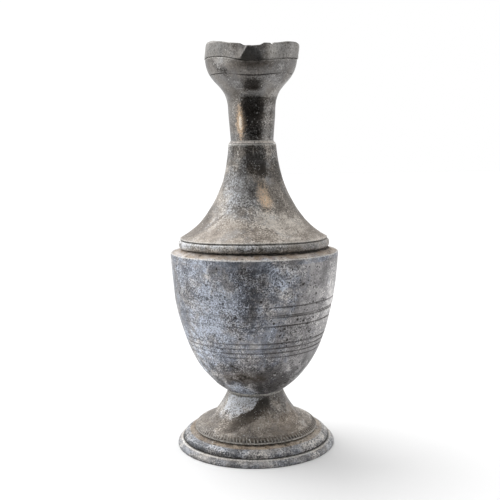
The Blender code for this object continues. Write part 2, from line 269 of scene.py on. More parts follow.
def inset(points, wall):
    """The same run moved square to itself by the wall's thickness, to the inner side."""
    moved = []
    for i, (radius, height) in enumerate(points):
        before, after = points[max(i - 1, 0)], points[min(i + 1, len(points) - 1)]
        run_r, run_z = after[0] - before[0], after[1] - before[1]
        length = math.hypot(run_r, run_z)
        moved.append((radius + wall * run_z / length, height - wall * run_r / length))
    return moved


def between(points, axis, lowest, highest):
    """The points whose radius (axis 0) or height (axis 1) lies from lowest to highest."""
    return [point for point in points if lowest <= point[axis] <= highest]


def radius_at(points, height):
    """The radius where a descending run passes a height, or each of an array of heights."""
    radii, heights = np.array(points[::-1]).T
    return np.interp(height, heights, radii)


def with_rows(points, heights):
    """A descending run with a row added at each of the heights."""
    extra = [(radius_at(points, height), height) for height in heights]
    return sorted(points + extra, key=lambda point: -point[1])


# Node wiring

class Signal:
    """A node's output. Sums, products and the like of signals become Math nodes in their tree."""

    def __init__(self, socket):
        self.socket = socket
        self.tree = socket.id_data

    def by(self, operation, *others):
        return signal(self.tree, "ShaderNodeMath", enumerate((self, *others)), operation=operation)

    def __add__(self, other):
        return self.by("ADD", other)

    def __sub__(self, other):
        return self.by("SUBTRACT", other)

    def __rsub__(self, other):
        return signal(self.tree, "ShaderNodeMath", {0: other, 1: self}, operation="SUBTRACT")

    def __mul__(self, other):
        return self.by("MULTIPLY", other)

    def __truediv__(self, other):
        return self.by("DIVIDE", other)

    def swing(self, amount):
        """A signal of 0 to 1 made to swing by half the amount either side of 0."""
        return self.by("MULTIPLY_ADD", amount, -amount / 2)

    def ranged(self, low_end, high_end, to_low=0.0, to_high=1.0, kind="SMOOTHSTEP"):
        """Goes from to_low to to_high as the signal goes from low_end to high_end."""
        inputs = {"Value": self, "From Min": low_end, "From Max": high_end}
        inputs.update({"To Min": to_low, "To Max": to_high})
        return signal(self.tree, "ShaderNodeMapRange", inputs, interpolation_type=kind)


def put(tree, kind, inputs=(), **settings):
    """Adds a node; inputs gives each socket, by name or number, a value or a signal."""
    made = tree.nodes.new(kind)
    for name, value in settings.items():
        setattr(made, name, value)
    for socket, value in dict(inputs).items():
        if isinstance(value, Signal):
            tree.links.new(value.socket, made.inputs[socket])
        else:
            made.inputs[socket].default_value = value
    return made


def signal(tree, kind, inputs=(), output=0, **settings):
    """One output of a new node."""
    return Signal(put(tree, kind, inputs, **settings).outputs[output])


def vector(place, operation, inputs=(), output=0):
    """The result of one Vector Math node."""
    return signal(place.tree, "ShaderNodeVectorMath", {0: place, **dict(inputs)}, output, operation=operation)


def axes_of(place):
    """A vector's three parts."""
    return [Signal(part) for part in put(place.tree, "ShaderNodeSeparateXYZ", {0: place}).outputs]


def noise(place, scale, detail, rough=0.5, output=0):
    inputs = {"Vector": place, "Scale": scale, "Detail": detail, "Roughness": rough}
    return signal(place.tree, "ShaderNodeTexNoise", inputs, output)


def bare_tree(owner):
    """The emptied node tree of a material or a world."""
    owner.use_nodes = True
    owner.node_tree.nodes.clear()
    return owner.node_tree


def shown(name, data):
    """A new object in the scene."""
    made = bpy.data.objects.new(name, data)
    bpy.context.scene.collection.objects.link(made)
    return made


# Geometry Nodes: turning an outline, and milling a turned rim

def new_tree(name, inputs):
    """An empty geometry tree, the identifier of each of its inputs, and the inputs as signals."""
    tree = bpy.data.node_groups.new(name, "GeometryNodeTree")
    identifiers = {}
    for label, kind in {"Geometry": "Geometry", **inputs}.items():
        made = tree.interface.new_socket(label, in_out="INPUT", socket_type="NodeSocket" + kind)
        identifiers[label] = made.identifier
    tree.interface.new_socket("Geometry", in_out="OUTPUT", socket_type="NodeSocketGeometry")
    start = put(tree, "NodeGroupInput")
    return tree, identifiers, {label: Signal(start.outputs[label]) for label in identifiers}


def close_tree(tree, geometry, material):
    """Ends a tree in smooth, real faces of one material."""
    soft = signal(tree, "GeometryNodeSetShadeSmooth", {"Geometry": geometry})
    solid = signal(tree, "GeometryNodeRealizeInstances", {"Geometry": soft})
    finished = signal(tree, "GeometryNodeSetMaterial", {"Geometry": solid, "Material": material})
    put(tree, "NodeGroupOutput", {0: finished})


def turning_tree():
    """Turns the outline that the object holds about Z."""
    tree, identifiers, given = new_tree("turning", {"Steps": "Int", "Weld": "Float", "Material": "Material"})
    outline, steps = given["Geometry"], given["Steps"]
    rows = signal(tree, "GeometryNodeAttributeDomainSize", {"Geometry": outline}, "Point Count")
    sheet = signal(tree, "GeometryNodeMeshGrid", {"Vertices X": steps + 1.0, "Vertices Y": rows}, "Mesh")
    index = signal(tree, "GeometryNodeInputIndex")
    column = (index / rows).by("FLOOR")
    row = index.by("FLOORED_MODULO", rows)
    place = signal(tree, "GeometryNodeInputPosition")
    outline_point = signal(
        tree,
        "GeometryNodeSampleIndex",
        {"Geometry": outline, "Value": place, "Index": row},
        data_type="FLOAT_VECTOR",
        domain="POINT",
    )
    angle = column * (2 * math.pi) / steps
    swung = {"Vector": outline_point, "Angle": angle}
    swung = signal(tree, "ShaderNodeVectorRotate", swung, rotation_type="Z_AXIS")
    sheet = signal(tree, "GeometryNodeSetPosition", {"Geometry": sheet, "Position": swung})
    welded = signal(tree, "GeometryNodeMergeByDistance", {"Geometry": sheet, "Distance": given["Weld"]})
    close_tree(tree, welded, given["Material"])
    return tree, identifiers


def milling_tree():
    """Cuts slanting ticks into the outer side of a turned rim, worn away here and there."""
    sizes = dict.fromkeys(("Depth", "Foot", "Top", "Inner radius", "Slant", "Unevenness", "Seed"), "Float")
    tree, identifiers, given = new_tree("milling", {"Ticks": "Int", **sizes, "Material": "Material"})
    place = signal(tree, "GeometryNodeInputPosition")
    x, y, z = axes_of(place)
    flat = signal(tree, "ShaderNodeCombineXYZ", {"X": x, "Y": y})
    outside = vector(flat, "LENGTH", output="Value").by("GREATER_THAN", given["Inner radius"])
    climb = (z - given["Foot"]) / (given["Top"] - given["Foot"])
    left_over = noise(place, 75.0, 2.0).ranged(0.38, 0.62, 0.3, 1.1, "LINEAR")
    masked = climb.ranged(0.0, 0.18) * climb.ranged(0.45, 1.0, 1.0, 0.0) * outside * left_over
    chance = {"Vector": place, "W": given["Seed"], "Scale": 260.0, "Detail": 2.0}
    chance = signal(tree, "ShaderNodeTexNoise", chance, noise_dimensions="4D")
    shake = (chance - 0.5) * given["Unevenness"]
    phase = y.by("ARCTAN2", x) * given["Ticks"] + climb * given["Slant"] + shake * 3.0
    notch = (phase.by("COSINE") * 0.5 + 0.5).by("POWER", 0.7)
    cut = notch * (shake * 2.0 + 1.0) * masked * given["Depth"]
    offset = vector(vector(flat, "NORMALIZE"), "SCALE", {"Scale": cut * -1.0})
    milled = signal(tree, "GeometryNodeSetPosition", {"Geometry": given["Geometry"], "Offset": offset})
    close_tree(tree, milled, given["Material"])
    return tree, identifiers


turning, turning_inputs = turning_tree()
milling, milling_inputs = milling_tree()


def made_real(mesh, tree, identifiers, values):
    """Runs a geometry tree over a mesh and gives back the result as a plain mesh."""
    carrier = shown("carrier", mesh)
    modifier = carrier.modifiers.new(tree.name, "NODES")
    modifier.node_group = tree
    for label, value in values.items():
        modifier[identifiers[label]] = value
    bpy.context.view_layer.update()
    graph = bpy.context.evaluated_depsgraph_get()
    plain = bpy.data.meshes.new_from_object(carrier.evaluated_get(graph))
    carrier.modifiers.clear()
    bpy.data.objects.remove(carrier)
    bpy.data.meshes.remove(mesh)
    return plain


# Shaping by hand: pressing, denting and wearing the turned pieces

MM = 0.001
WELD = 0.000001
BODY_STEPS = 480
BACK_FADE = 130  # turns between which the stains, painted light and painted shade of one side end
BACK = 175
WAVES = 14  # in each kind of unevenness


def corners(mesh):
    """The mesh's points as an array."""
    points = np.empty(len(mesh.vertices) * 3, np.float32)
    mesh.vertices.foreach_get("co", points)
    return points.reshape(-1, 3).astype(float)


def placed(points):
    """Turn, height and radius of each point."""
    x, y, height = points.T
    return np.degrees(np.arctan2(x, -y)), height, np.hypot(x, y)


def turned(name, outline, material, steps=BODY_STEPS, closed=True):
    """A plain mesh turned from an outline, with its points and their turns, heights and radii."""
    rows = [(radius, 0.0, height) for radius, height in outline[::-1]]
    if closed:
        rows.append(rows[0])
    profile = bpy.data.meshes.new("profile")
    profile.from_pydata(rows, [(i, i + 1) for i in range(len(rows) - 1)], [])
    mesh = made_real(profile, turning, turning_inputs, {"Steps": steps, "Weld": WELD, "Material": material})
    mesh.name = name
    points = corners(mesh)
    return mesh, points, *placed(points)


def moved(mesh, points, outward, upward=0.0, rightward=0.0):
    """Moves each point away from the axis, up and to the right."""
    radius = np.maximum(np.hypot(points[:, 0], points[:, 1]), WELD)
    points = points.copy()
    points[:, :2] *= (1 + outward / radius)[:, None]
    points[:, 2] += upward
    points[:, 0] += rightward
    mesh.vertices.foreach_set("co", points.astype(np.float32).ravel())
    mesh.update()
    return points


def smooth(value, start, end):
    """Climbs softly from 0 at start to 1 at end, which may lie on either side."""
    t = np.clip((value - start) / (end - start), 0.0, 1.0)
    return t * t * (3 - 2 * t)


def bump(value, middle, half):
    """1 in the middle, falling softly to 0 at half either side."""
    t = np.clip(np.abs(value - middle) / half, 0.0, 1.0)
    return np.cos(math.pi / 2 * t) ** 2


def span(value, start, full, fading, end):
    """1 between full and fading, falling softly to 0 at start and end."""
    return smooth(value, start, full) * (1 - smooth(value, fading, end))


def left_of(turn, full, end):
    """1 on the left up to the turn full, falling softly to 0 at end and towards the back."""
    return span(turn, -BACK, -BACK_FADE, full, end)


def right_of(turn, start, full):
    """1 on the right from the turn full, falling softly to 0 at start and towards the back."""
    return span(turn, start, full, BACK_FADE, BACK)


def on_side(side, height, radius):
    """1 on a piece's outer side, 0 inside it."""
    side_radius = radius_at(side, height)
    return smooth(radius, side_radius - 1.0 * MM, side_radius - 0.2 * MM)


def lumps(points, size, seed):
    """Smooth unevenness of about -1 to 1 whose swells are roughly the given size in millimetres."""
    dice = np.random.default_rng(seed)
    total = np.zeros(len(points))
    for _ in range(WAVES):
        direction = dice.normal(size=3)
        direction *= 2 * math.pi / (MM * size * dice.uniform(0.7, 1.6) * np.linalg.norm(direction))
        total += np.sin(points @ direction + dice.uniform(0, 2 * math.pi))
    return total / WAVES**0.5


def dents(points, seed, *rows):
    """Shallow unevenness; each row is a depth and the size of its swells, in millimetres."""
    return sum(MM * depth * lumps(points, size, seed + i) for i, (depth, size) in enumerate(rows))


def blots(points, size, seed, start, end):
    """Soft blots of a size in millimetres; start and end set how much they cover."""
    return smooth(lumps(points, size, seed), start, end)


def patch(points, turn, height, half_width, half_height, lean=0.0, edge=2):
    """A patch: its turn, height and half sizes in millimetres, lean, and a higher edge for a crisper one."""
    at_turn, at_height, radius = placed(points)
    across = np.radians((at_turn - turn + 180) % 360 - 180) * radius
    up = at_height - MM * height
    leaned = math.radians(lean)
    u = across * math.cos(leaned) + up * math.sin(leaned)
    v = up * math.cos(leaned) - across * math.sin(leaned)
    return np.exp(-np.abs(u / (MM * half_width)) ** edge - np.abs(v / (MM * half_height)) ** edge)


def spots(points, *rows):
    """Patches laid together; each row is a strength and what patch takes."""
    return sum(strength * patch(points, *place) for strength, *place in rows)


def hollows(mesh, points):
    """How far each point lies in a hollow (positive) or on an edge (negative), against its neighbours."""
    ends = np.empty(len(mesh.edges) * 2, np.int32)
    mesh.edges.foreach_get("vertices", ends)
    first, second = ends.reshape(-1, 2).T

    def both_ways(at_first, at_second):
        return np.bincount(first, at_first, len(points)) + np.bincount(second, at_second, len(points))

    count = np.maximum(both_ways(None, None), 1)

    def around(values):
        return both_ways(values[second], values[first]) / count

    normals = np.empty(len(points) * 3, np.float32)
    mesh.vertex_normals.foreach_get("vector", normals)
    normals = normals.reshape(-1, 3)
    spread = np.stack([around(points[:, axis]) for axis in range(3)], 1) - points
    lengths = np.linalg.norm(points[first] - points[second], axis=1)
    length = both_ways(lengths, lengths) / count
    bend = (spread * normals).sum(1) / np.maximum(length, WELD)
    for _ in range(2):
        bend = (bend + around(bend)) / 2
    return bend


# Pouring lip: a broad pressing with a flat front between two creases

LIP_TURN = 1.0  # the flat front sits a little to the right
LIP_HALF_LEFT = 47.0
LIP_HALF_RIGHT = 56.0
LIP_REACH = 0.0034
LIP_FOOT_REACH = 0.0020
LIP_FLAT_TOP = 0.0042  # half width of the flat front at the rim
LIP_FLAT_FOOT = 0.0082
LIP_CREASE_LEFT = 0.00012  # softness of the creases
LIP_CREASE_RIGHT = 0.0013
LIP_CUP_REACH = 0.0019  # the cup below only swells
CUP_SWELL = 0.0005  # the cup is a little fuller than turned
LIP_ROOT = 0.0270
RIM_DROP = 0.0031
RIM_DROP_LEFT = 56.0
RIM_DROP_RIGHT = 68.0
RIM_DIP = 0.0014
SEAM_DROP = 0.0039
SEAM_DROP_RIGHT = 84.0
GROOVE_DROP = 0.0023
NOTCH_TURN = 25.0
RIM_LEAN = 0.0009  # the band leans a little to the right
RIM_RISE = 0.0012  # and stands a little higher on the left
RIM_CORNER = 0.0016  # its sides are worn down
RIM_SWELL = 0.0005  # and its right side is bent outwards


def flat_half(height):
    """Half width of the lip's flat front at a height."""
    rise = np.clip((height - band_foot) / (rim_top - band_foot), 0.0, 1.0)
    return LIP_FLAT_FOOT + (LIP_FLAT_TOP - LIP_FLAT_FOOT) * rise


def lip_front(height):
    """How far the lip's flat front stands from the axis at a height."""
    rise = np.clip((height - band_foot) / (rim_top - band_foot), 0.0, 1.0)
    return rim_radius + LIP_FOOT_REACH + (LIP_REACH - LIP_FOOT_REACH) * rise


def lip_outward(points):
    """How far the pressing pushes each point of the band out from the turned shape."""
    turn, height, _ = placed(points)
    turn = turn - LIP_TURN
    front = lip_front(height)
    angle = np.radians(np.clip(turn, -80, 80))
    to_front = front / np.cos(angle)
    half = np.radians(np.where(turn < 0, LIP_HALF_LEFT, LIP_HALF_RIGHT))
    side_x, side_y = rim_radius * np.sin(half), rim_radius * np.cos(half)
    run_x, run_y = flat_half(height) - side_x, front - side_y
    to_side = (side_x * run_y - side_y * run_x) / (np.sin(np.abs(angle)) * run_y - np.cos(angle) * run_x)
    softness = LIP_CREASE_RIGHT + (LIP_CREASE_LEFT - LIP_CREASE_RIGHT) * smooth(turn, -2.0, -5.0)
    gap = np.clip(0.5 + 0.5 * (to_side - to_front) / (4 * softness), 0.0, 1.0)
    pressed = to_side + (to_front - to_side) * gap - 4 * softness * gap * (1 - gap)
    fade = 1 - smooth(np.abs(angle) / half, 0.72, 1.05)
    return (pressed - rim_radius) * fade


def cup_outward(points):
    """How far the cup swells under the lip, and how its collar follows the band."""
    turn, height, _ = placed(points)
    climb = smooth(height, cup_top - LIP_ROOT, cup_top)
    swell = LIP_CUP_REACH * bump(turn, LIP_TURN, LIP_HALF_RIGHT) * climb
    inside = smooth(height, cup_top - 0.0002, band_foot + 0.0004)
    return swell + (lip_outward(points) - swell) * inside


def lip_downward(points):
    """How far the pressing pulls each point down."""
    turn, height, _ = placed(points)
    off = turn - LIP_TURN
    rim = RIM_DROP * bump(turn, 0.0, np.where(turn < 0, RIM_DROP_LEFT, RIM_DROP_RIGHT))
    rim = rim + RIM_DIP * (smooth(turn, -15.5, -8.5) - smooth(turn, 8.0, 14.5))
    rim = rim + RIM_CORNER * bump(np.abs(turn), 95.0, 22.0)
    rise = bump(turn, -66.0, 30.0)
    rim = rim - RIM_RISE * rise
    seam = SEAM_DROP * bump(off, 0.0, np.where(off < 0, LIP_HALF_LEFT, SEAM_DROP_RIGHT))
    seam = seam - 0.7 * RIM_RISE * rise
    groove = GROOVE_DROP * bump(off, 0.0, np.where(off < 0, LIP_HALF_LEFT, LIP_HALF_RIGHT))
    root = cup_top - LIP_ROOT
    drop = groove * smooth(height, root, cup_groove)
    drop = drop + (seam - groove) * np.clip((height - cup_groove) / (band_foot - cup_groove), 0.0, 1.0)
    return drop + (rim - seam) * np.clip((height - band_foot) / (rim_top - band_foot), 0.0, 1.0)


def lean(height):
    """How far the mouth leans to the right at a height."""
    return RIM_LEAN * smooth(height, band_foot, rim_top)


# Materials

DUST = (0.43, 0.350, 0.265, 1.0)
DARK_DUST = (0.21, 0.150, 0.102, 1.0)
# colour of dirt and of painted shade
GRIME_AND_SHADE = (0.020, 0.016, 0.012, 1.0)
# colour of worn edges and of painted highlights
RUBBED_AND_LIT = (0.70, 0.68, 0.64, 1.0)
GOLD = (0.72, 0.53, 0.36, 1.0)
FLECK = (0.60, 0.592, 0.575, 1.0)
FROST = (0.56, 0.600, 0.685, 1.0)
# the near-white core of a painted highlight
GLINT_CORE = (0.88, 0.78, 0.66, 1.0)
WARMER = (1.06, 0.995, 0.925, 1.0)
COOLER = (0.94, 0.99, 1.08, 1.0)
# Besides real stains, bloom and wear also paint light and highlights, soot and grime also paint shade and
# shadows, and gold also paints a highlight streak.
STAINS = ("bloom_and_light", "soot_and_shade", "dust", "gold_and_glint", "rust", "grime_and_shade", "wear_and_sheen", "pits", "flecks", "frost")
SOOT_AND_SHADE_SIDE = -0.6  # soot and painted shade keep to the other side of the grain than bloom, painted light and frost
HOLLOW_GRIME = 7.0  # dirt that gathers in a hollow, and how deep one has to be
HOLLOW_START = 0.12
EDGE_WEAR = 4.5  # rubbing of an edge, and how sharp one has to be
EDGE_START = 0.2


def pewter(name, tones, metallic, roughness, mottle, speckle, fleck_share, tint):
    """Weathered pewter: tones are its colours from the darkest patina to the palest bloom."""
    material = bpy.data.materials.new(name)
    tree = bare_tree(material)
    place = signal(tree, "ShaderNodeTexCoord", output="Object")
    stain = {}
    for label in STAINS:
        stain[label] = signal(tree, "ShaderNodeAttribute", output="Fac", attribute_name=label)

    def mixed(share, under, over, blend="MIX"):
        inputs = {0: share, 6: under, 7: over}
        return signal(tree, "ShaderNodeMix", inputs, 2, data_type="RGBA", blend_type=blend)

    def dots(scale, share, channel):
        """Round spots about a third of a cell wide, in the given share of the cells."""
        cells = put(tree, "ShaderNodeTexVoronoi", {"Vector": place, "Scale": scale})
        chance = signal(tree, "ShaderNodeSeparateColor", {0: Signal(cells.outputs["Color"])}, channel)
        return chance.by("LESS_THAN", share) * Signal(cells.outputs["Distance"]).ranged(0.20, 0.42, 1.0, 0.0)

    drift = vector(noise(place, 60.0, 2.0, output="Color"), "SUBTRACT", {1: (0.5, 0.5, 0.5)})
    wavy = vector(place, "ADD", {1: vector(drift, "SCALE", {"Scale": 0.012})})
    cloud = noise(wavy, 38.0, 5.0, 0.6)
    blotch = noise(wavy, 150.0, 5.0, 0.64)
    grain = noise(place, 900.0, 3.0, 0.65)
    fine = noise(place, 1700.0, 2.0, 0.6)
    grainy = noise(wavy, 85.0, 3.0, 0.55).ranged(0.40, 0.62, 0.55, 1.5)
    patches = noise(wavy, 70.0, 6.0, 0.66).ranged(0.44, 0.56)
    round_marks = noise(vector(place, "MULTIPLY", {1: (14.0, 14.0, 900.0)}), 1.0, 2.0)

    calm = stain["rust"] * -0.4 + 1.0
    specks = (grain.swing(speckle) + fine.swing(0.5 * speckle)) * grainy
    level = cloud.swing(mottle) + 0.5 + blotch.swing(mottle) * calm + specks * calm
    level = level + round_marks.swing(0.12) + patches.swing(0.30 * mottle) * calm
    ragged = blotch.swing(0.9) + grain.swing(1.3)

    def broken(label, softness, side=1.0):
        """A stain broken up by the grain: specks where it is faint, whole where it is strong."""
        edge = (ragged * side + stain[label]).ranged(0.5 - softness, 0.5 + softness)
        return edge * stain[label].ranged(0.0, 0.2)

    frosted = broken("frost", 0.30)
    sparkle = (grain + fine.swing(0.5)).ranged(0.38, 0.66)
    # bloom lifts the level and soot lowers it, for real stains and for painted light and painted shade alike
    level = level + broken("bloom_and_light", 0.30) * 0.30 + frosted * (sparkle * 0.32 + 0.04)
    level = level - broken("soot_and_shade", 0.34, SOOT_AND_SHADE_SIDE) * 0.42
    ramp = put(tree, "ShaderNodeValToRGB", {0: level})
    stops = ramp.color_ramp.elements
    stops[0].position, stops[1].position = 0.0, 0.95
    for position in (0.3, 0.5, 0.7):
        stops.new(position)
    for stop, tone in zip(stops, tones):
        stop.color = (*tone, 1.0)
    hue = noise(wavy, 62.0, 6.0, 0.70) + grain.swing(0.20) + stain["rust"] * 0.20 - stain["frost"] * 0.12
    shade = mixed(hue.ranged(0.40, 0.60), COOLER, WARMER)
    colour = mixed(tint, Signal(ramp.outputs[0]), shade, "MULTIPLY")

    frost_share = frosted * (sparkle * 0.5)
    colour = mixed(frost_share, colour, FROST)
    # gold paints tan patches and a warm painted highlight; where it is strongest, the painted highlight's
    # near-white core
    gold_and_glint_share = broken("gold_and_glint", 0.40) * grain.ranged(0.30, 0.60, 0.4, 0.95)
    colour = mixed(gold_and_glint_share, colour, GOLD)
    colour = mixed(gold_and_glint_share * stain["gold_and_glint"].ranged(0.86, 1.0), colour, GLINT_CORE)
    dust_share = stain["dust"] * grain.ranged(0.3, 0.6, 0.65, 1.0)
    crumbs = (blotch + grain.swing(0.8)).ranged(0.36, 0.62) * (1.0 - stain["rust"])
    colour = mixed(dust_share, colour, mixed(crumbs, DARK_DUST, DUST))
    islands = noise(wavy, 95.0, 4.0, 0.6).ranged(0.44, 0.60, 0.2, 1.6)
    fleck_chance = (stain["flecks"] * 0.42 + fleck_share) * islands
    fleck = dots(1000.0, fleck_chance, 0).by("MAXIMUM", dots(560.0, fleck_chance * 0.4, 0))
    fleck = fleck * grain.ranged(0.3, 0.55, 0.25, 0.85)
    colour = mixed(fleck, colour, FLECK)
    pit_chance = stain["pits"] * 0.5
    pit = dots(560.0, pit_chance, 1).by("MAXIMUM", dots(300.0, pit_chance * 0.7, 1))
    # grime darkens dirty hollows and joints and also paints shade under rims and on shaded sides
    grime_and_shade_share = (stain["grime_and_shade"] * blotch.ranged(0.25, 0.6, 0.6, 1.0)).by("MAXIMUM", pit * 0.9)
    colour = mixed(grime_and_shade_share, colour, GRIME_AND_SHADE)
    # wear lightens rubbed edges and also paints highlights and lit patches
    wear_and_sheen_share = stain["wear_and_sheen"] * grain.ranged(0.35, 0.6, 0.3, 1.0)
    colour = mixed(wear_and_sheen_share, colour, RUBBED_AND_LIT)

    dull = level.ranged(0.6, 0.95, 0.0, 0.5)
    dulling = ((dust_share, 0.85), (fleck, 0.7), (frost_share, 0.6), (wear_and_sheen_share, 0.6), (grime_and_shade_share, 0.7))
    for share, strength in dulling:
        dull = dull.by("MAXIMUM", share * strength)
    metal = (1.0 - dull) * metallic
    rough = blotch.ranged(0.3, 0.7, roughness - 0.05, roughness + 0.05) + dull * 0.35 - gold_and_glint_share * 0.14
    relief = blotch * 0.4 + grain * 0.3 + fleck * 0.25 - pit * 0.7
    normal = signal(tree, "ShaderNodeBump", {"Height": relief, "Strength": 0.4, "Distance": 0.0006})
    look = {"Base Color": colour, "Metallic": metal, "Roughness": rough, "Normal": normal}
    put(tree, "ShaderNodeOutputMaterial", {"Surface": signal(tree, "ShaderNodeBsdfPrincipled", look)})
    return material


warm = pewter(
    "warm_pewter",
    (
        (0.035, 0.030, 0.026), (0.115, 0.107, 0.099), (0.205, 0.195, 0.185), (0.33, 0.318, 0.305),
        (0.62, 0.61, 0.59),
    ),
    metallic=0.90, roughness=0.38, mottle=0.45, speckle=0.85, fleck_share=0.05, tint=0.4,
)
taupe = pewter(
    "taupe_pewter",
    (
        (0.050, 0.044, 0.038), (0.130, 0.120, 0.109), (0.245, 0.230, 0.213), (0.40, 0.381, 0.358),
        (0.78, 0.765, 0.735),
    ),
    metallic=0.60, roughness=0.50, mottle=0.56, speckle=1.25, fleck_share=0.12, tint=0.7,
)
blue = pewter(
    "blue_grey_pewter",
    (
        (0.066, 0.067, 0.073), (0.145, 0.147, 0.159), (0.260, 0.266, 0.288), (0.45, 0.462, 0.495),
        (0.84, 0.865, 0.91),
    ),
    metallic=0.45, roughness=0.48, mottle=0.60, speckle=1.36, fleck_share=0.05, tint=0.9,
)
steel = pewter(
    "steel_grey_pewter",
    (
        (0.040, 0.040, 0.041), (0.125, 0.125, 0.129), (0.240, 0.242, 0.248), (0.40, 0.400, 0.405),
        (0.70, 0.695, 0.68),
    ),
    metallic=0.60, roughness=0.50, mottle=0.52, speckle=1.55, fleck_share=0.06, tint=0.7,
)
solder = pewter(
    "dull_solder",
    (
        (0.060, 0.053, 0.047), (0.210, 0.186, 0.167), (0.380, 0.340, 0.308), (0.52, 0.472, 0.430),
        (0.66, 0.62, 0.58),
    ),
    metallic=0.50, roughness=0.55, mottle=0.50, speckle=1.00, fleck_share=0.02, tint=0.4,
)


def finish(mesh, node, stains=(), grime_and_shade=1.0, wear_and_sheen=1.0):
    """Puts a shaped mesh in its CAD node's place, with its stains, its painted light and shade, and the dirt
    and wear of its own edges.
    """
    points = corners(mesh)
    bend = hollows(mesh, points)
    layers = {label: np.zeros(len(points)) for label in STAINS}
    layers["grime_and_shade"] = np.clip(bend * HOLLOW_GRIME - HOLLOW_START, 0.0, 1.0) * grime_and_shade
    layers["wear_and_sheen"] = np.clip(-bend * EDGE_WEAR - EDGE_START, 0.0, 1.0) * wear_and_sheen
    for label, values in dict(stains).items():
        layers[label] = np.clip(layers[label] + values, 0.0, 1.0)
    for label, values in layers.items():
        layer = mesh.attributes.new(label, "FLOAT", "POINT")
        layer.data.foreach_set("value", values.astype(np.float32))
    piece = shown("worn_" + node, mesh)
    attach(piece, "root")
    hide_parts(node)


# Foot

MILLED_STEPS = 8  # columns for each tick
MILLED_INSET = 0.0036  # how far in from the rim's edge the ticks may reach
MILLED_SLANT = 3.0
MILLED_UNEVENNESS = 1.7
MILLED_SEED = 3.0


def foot_base_ring():
    rebate_radius = upper_foot_radius + FIT_GAP
    rebate_floor = upper_seat - FIT_GAP
    bevel_top = (base_radius - BASE_BEVEL_WIDTH, base_top)
    bevel_foot = (base_radius, base_top - BASE_BEVEL_DROP)
    slope = BASE_BEVEL_DROP / BASE_BEVEL_WIDTH
    slope_start = (bevel_top[0] + BASE_ROUND, base_top - BASE_ROUND * slope)
    slope_end = (base_radius - BASE_ROUND, bevel_foot[1] + BASE_ROUND * slope)
    side_top = (base_radius, bevel_foot[1] - BASE_ROUND)
    side_foot = (base_radius, BASE_ROUND / 2)
    outline = [(rebate_radius, base_top)]
    outline += rounded((bevel_top[0] - BASE_ROUND, base_top), bevel_top, slope_start)
    outline += straight(slope_start, slope_end, ROW / 2)[:-1]
    outline += rounded(slope_end, bevel_foot, side_top)
    outline += rounded(side_foot, (base_radius, 0.0), (base_radius - BASE_ROUND / 2, 0.0))
    outline += [(base_bore, 0.0), (base_bore, rebate_floor), (rebate_radius, rebate_floor)]
    mesh, points, turn, height, radius = turned("foot_base_ring", outline, steel)
    side = smooth(radius, base_radius - 0.003, base_radius) * smooth(height, 0.0, 0.001)
    points = moved(mesh, points, side * dents(points, 11, (0.10, 20), (0.06, 6)))
    top = smooth(height, base_top - 0.0016, base_top)
    stains = {
        "wear_and_sheen": 0.9 * bump(radius, base_radius - BASE_BEVEL_WIDTH, 0.0007) * top,
        "grime_and_shade": top * smooth(radius, upper_radius + 0.0010, upper_radius + 0.0002),
        "dust": 0.4 * top * blots(points, 14, 14, -0.6, 0.4),
        # the blots are bloom; the right side is painted lighter, painted light where the foot's right catches
        # more light
        "bloom_and_light": 0.20 * blots(points, 12, 13, -0.2, 0.7) + 0.25 * right_of(turn, 20, 55),
        # darker towards the bottom edge of the side
        "soot_and_shade": 0.6 * smooth(height, 0.0014, 0.0003),
    }
    finish(mesh, "foot_base_ring", stains)


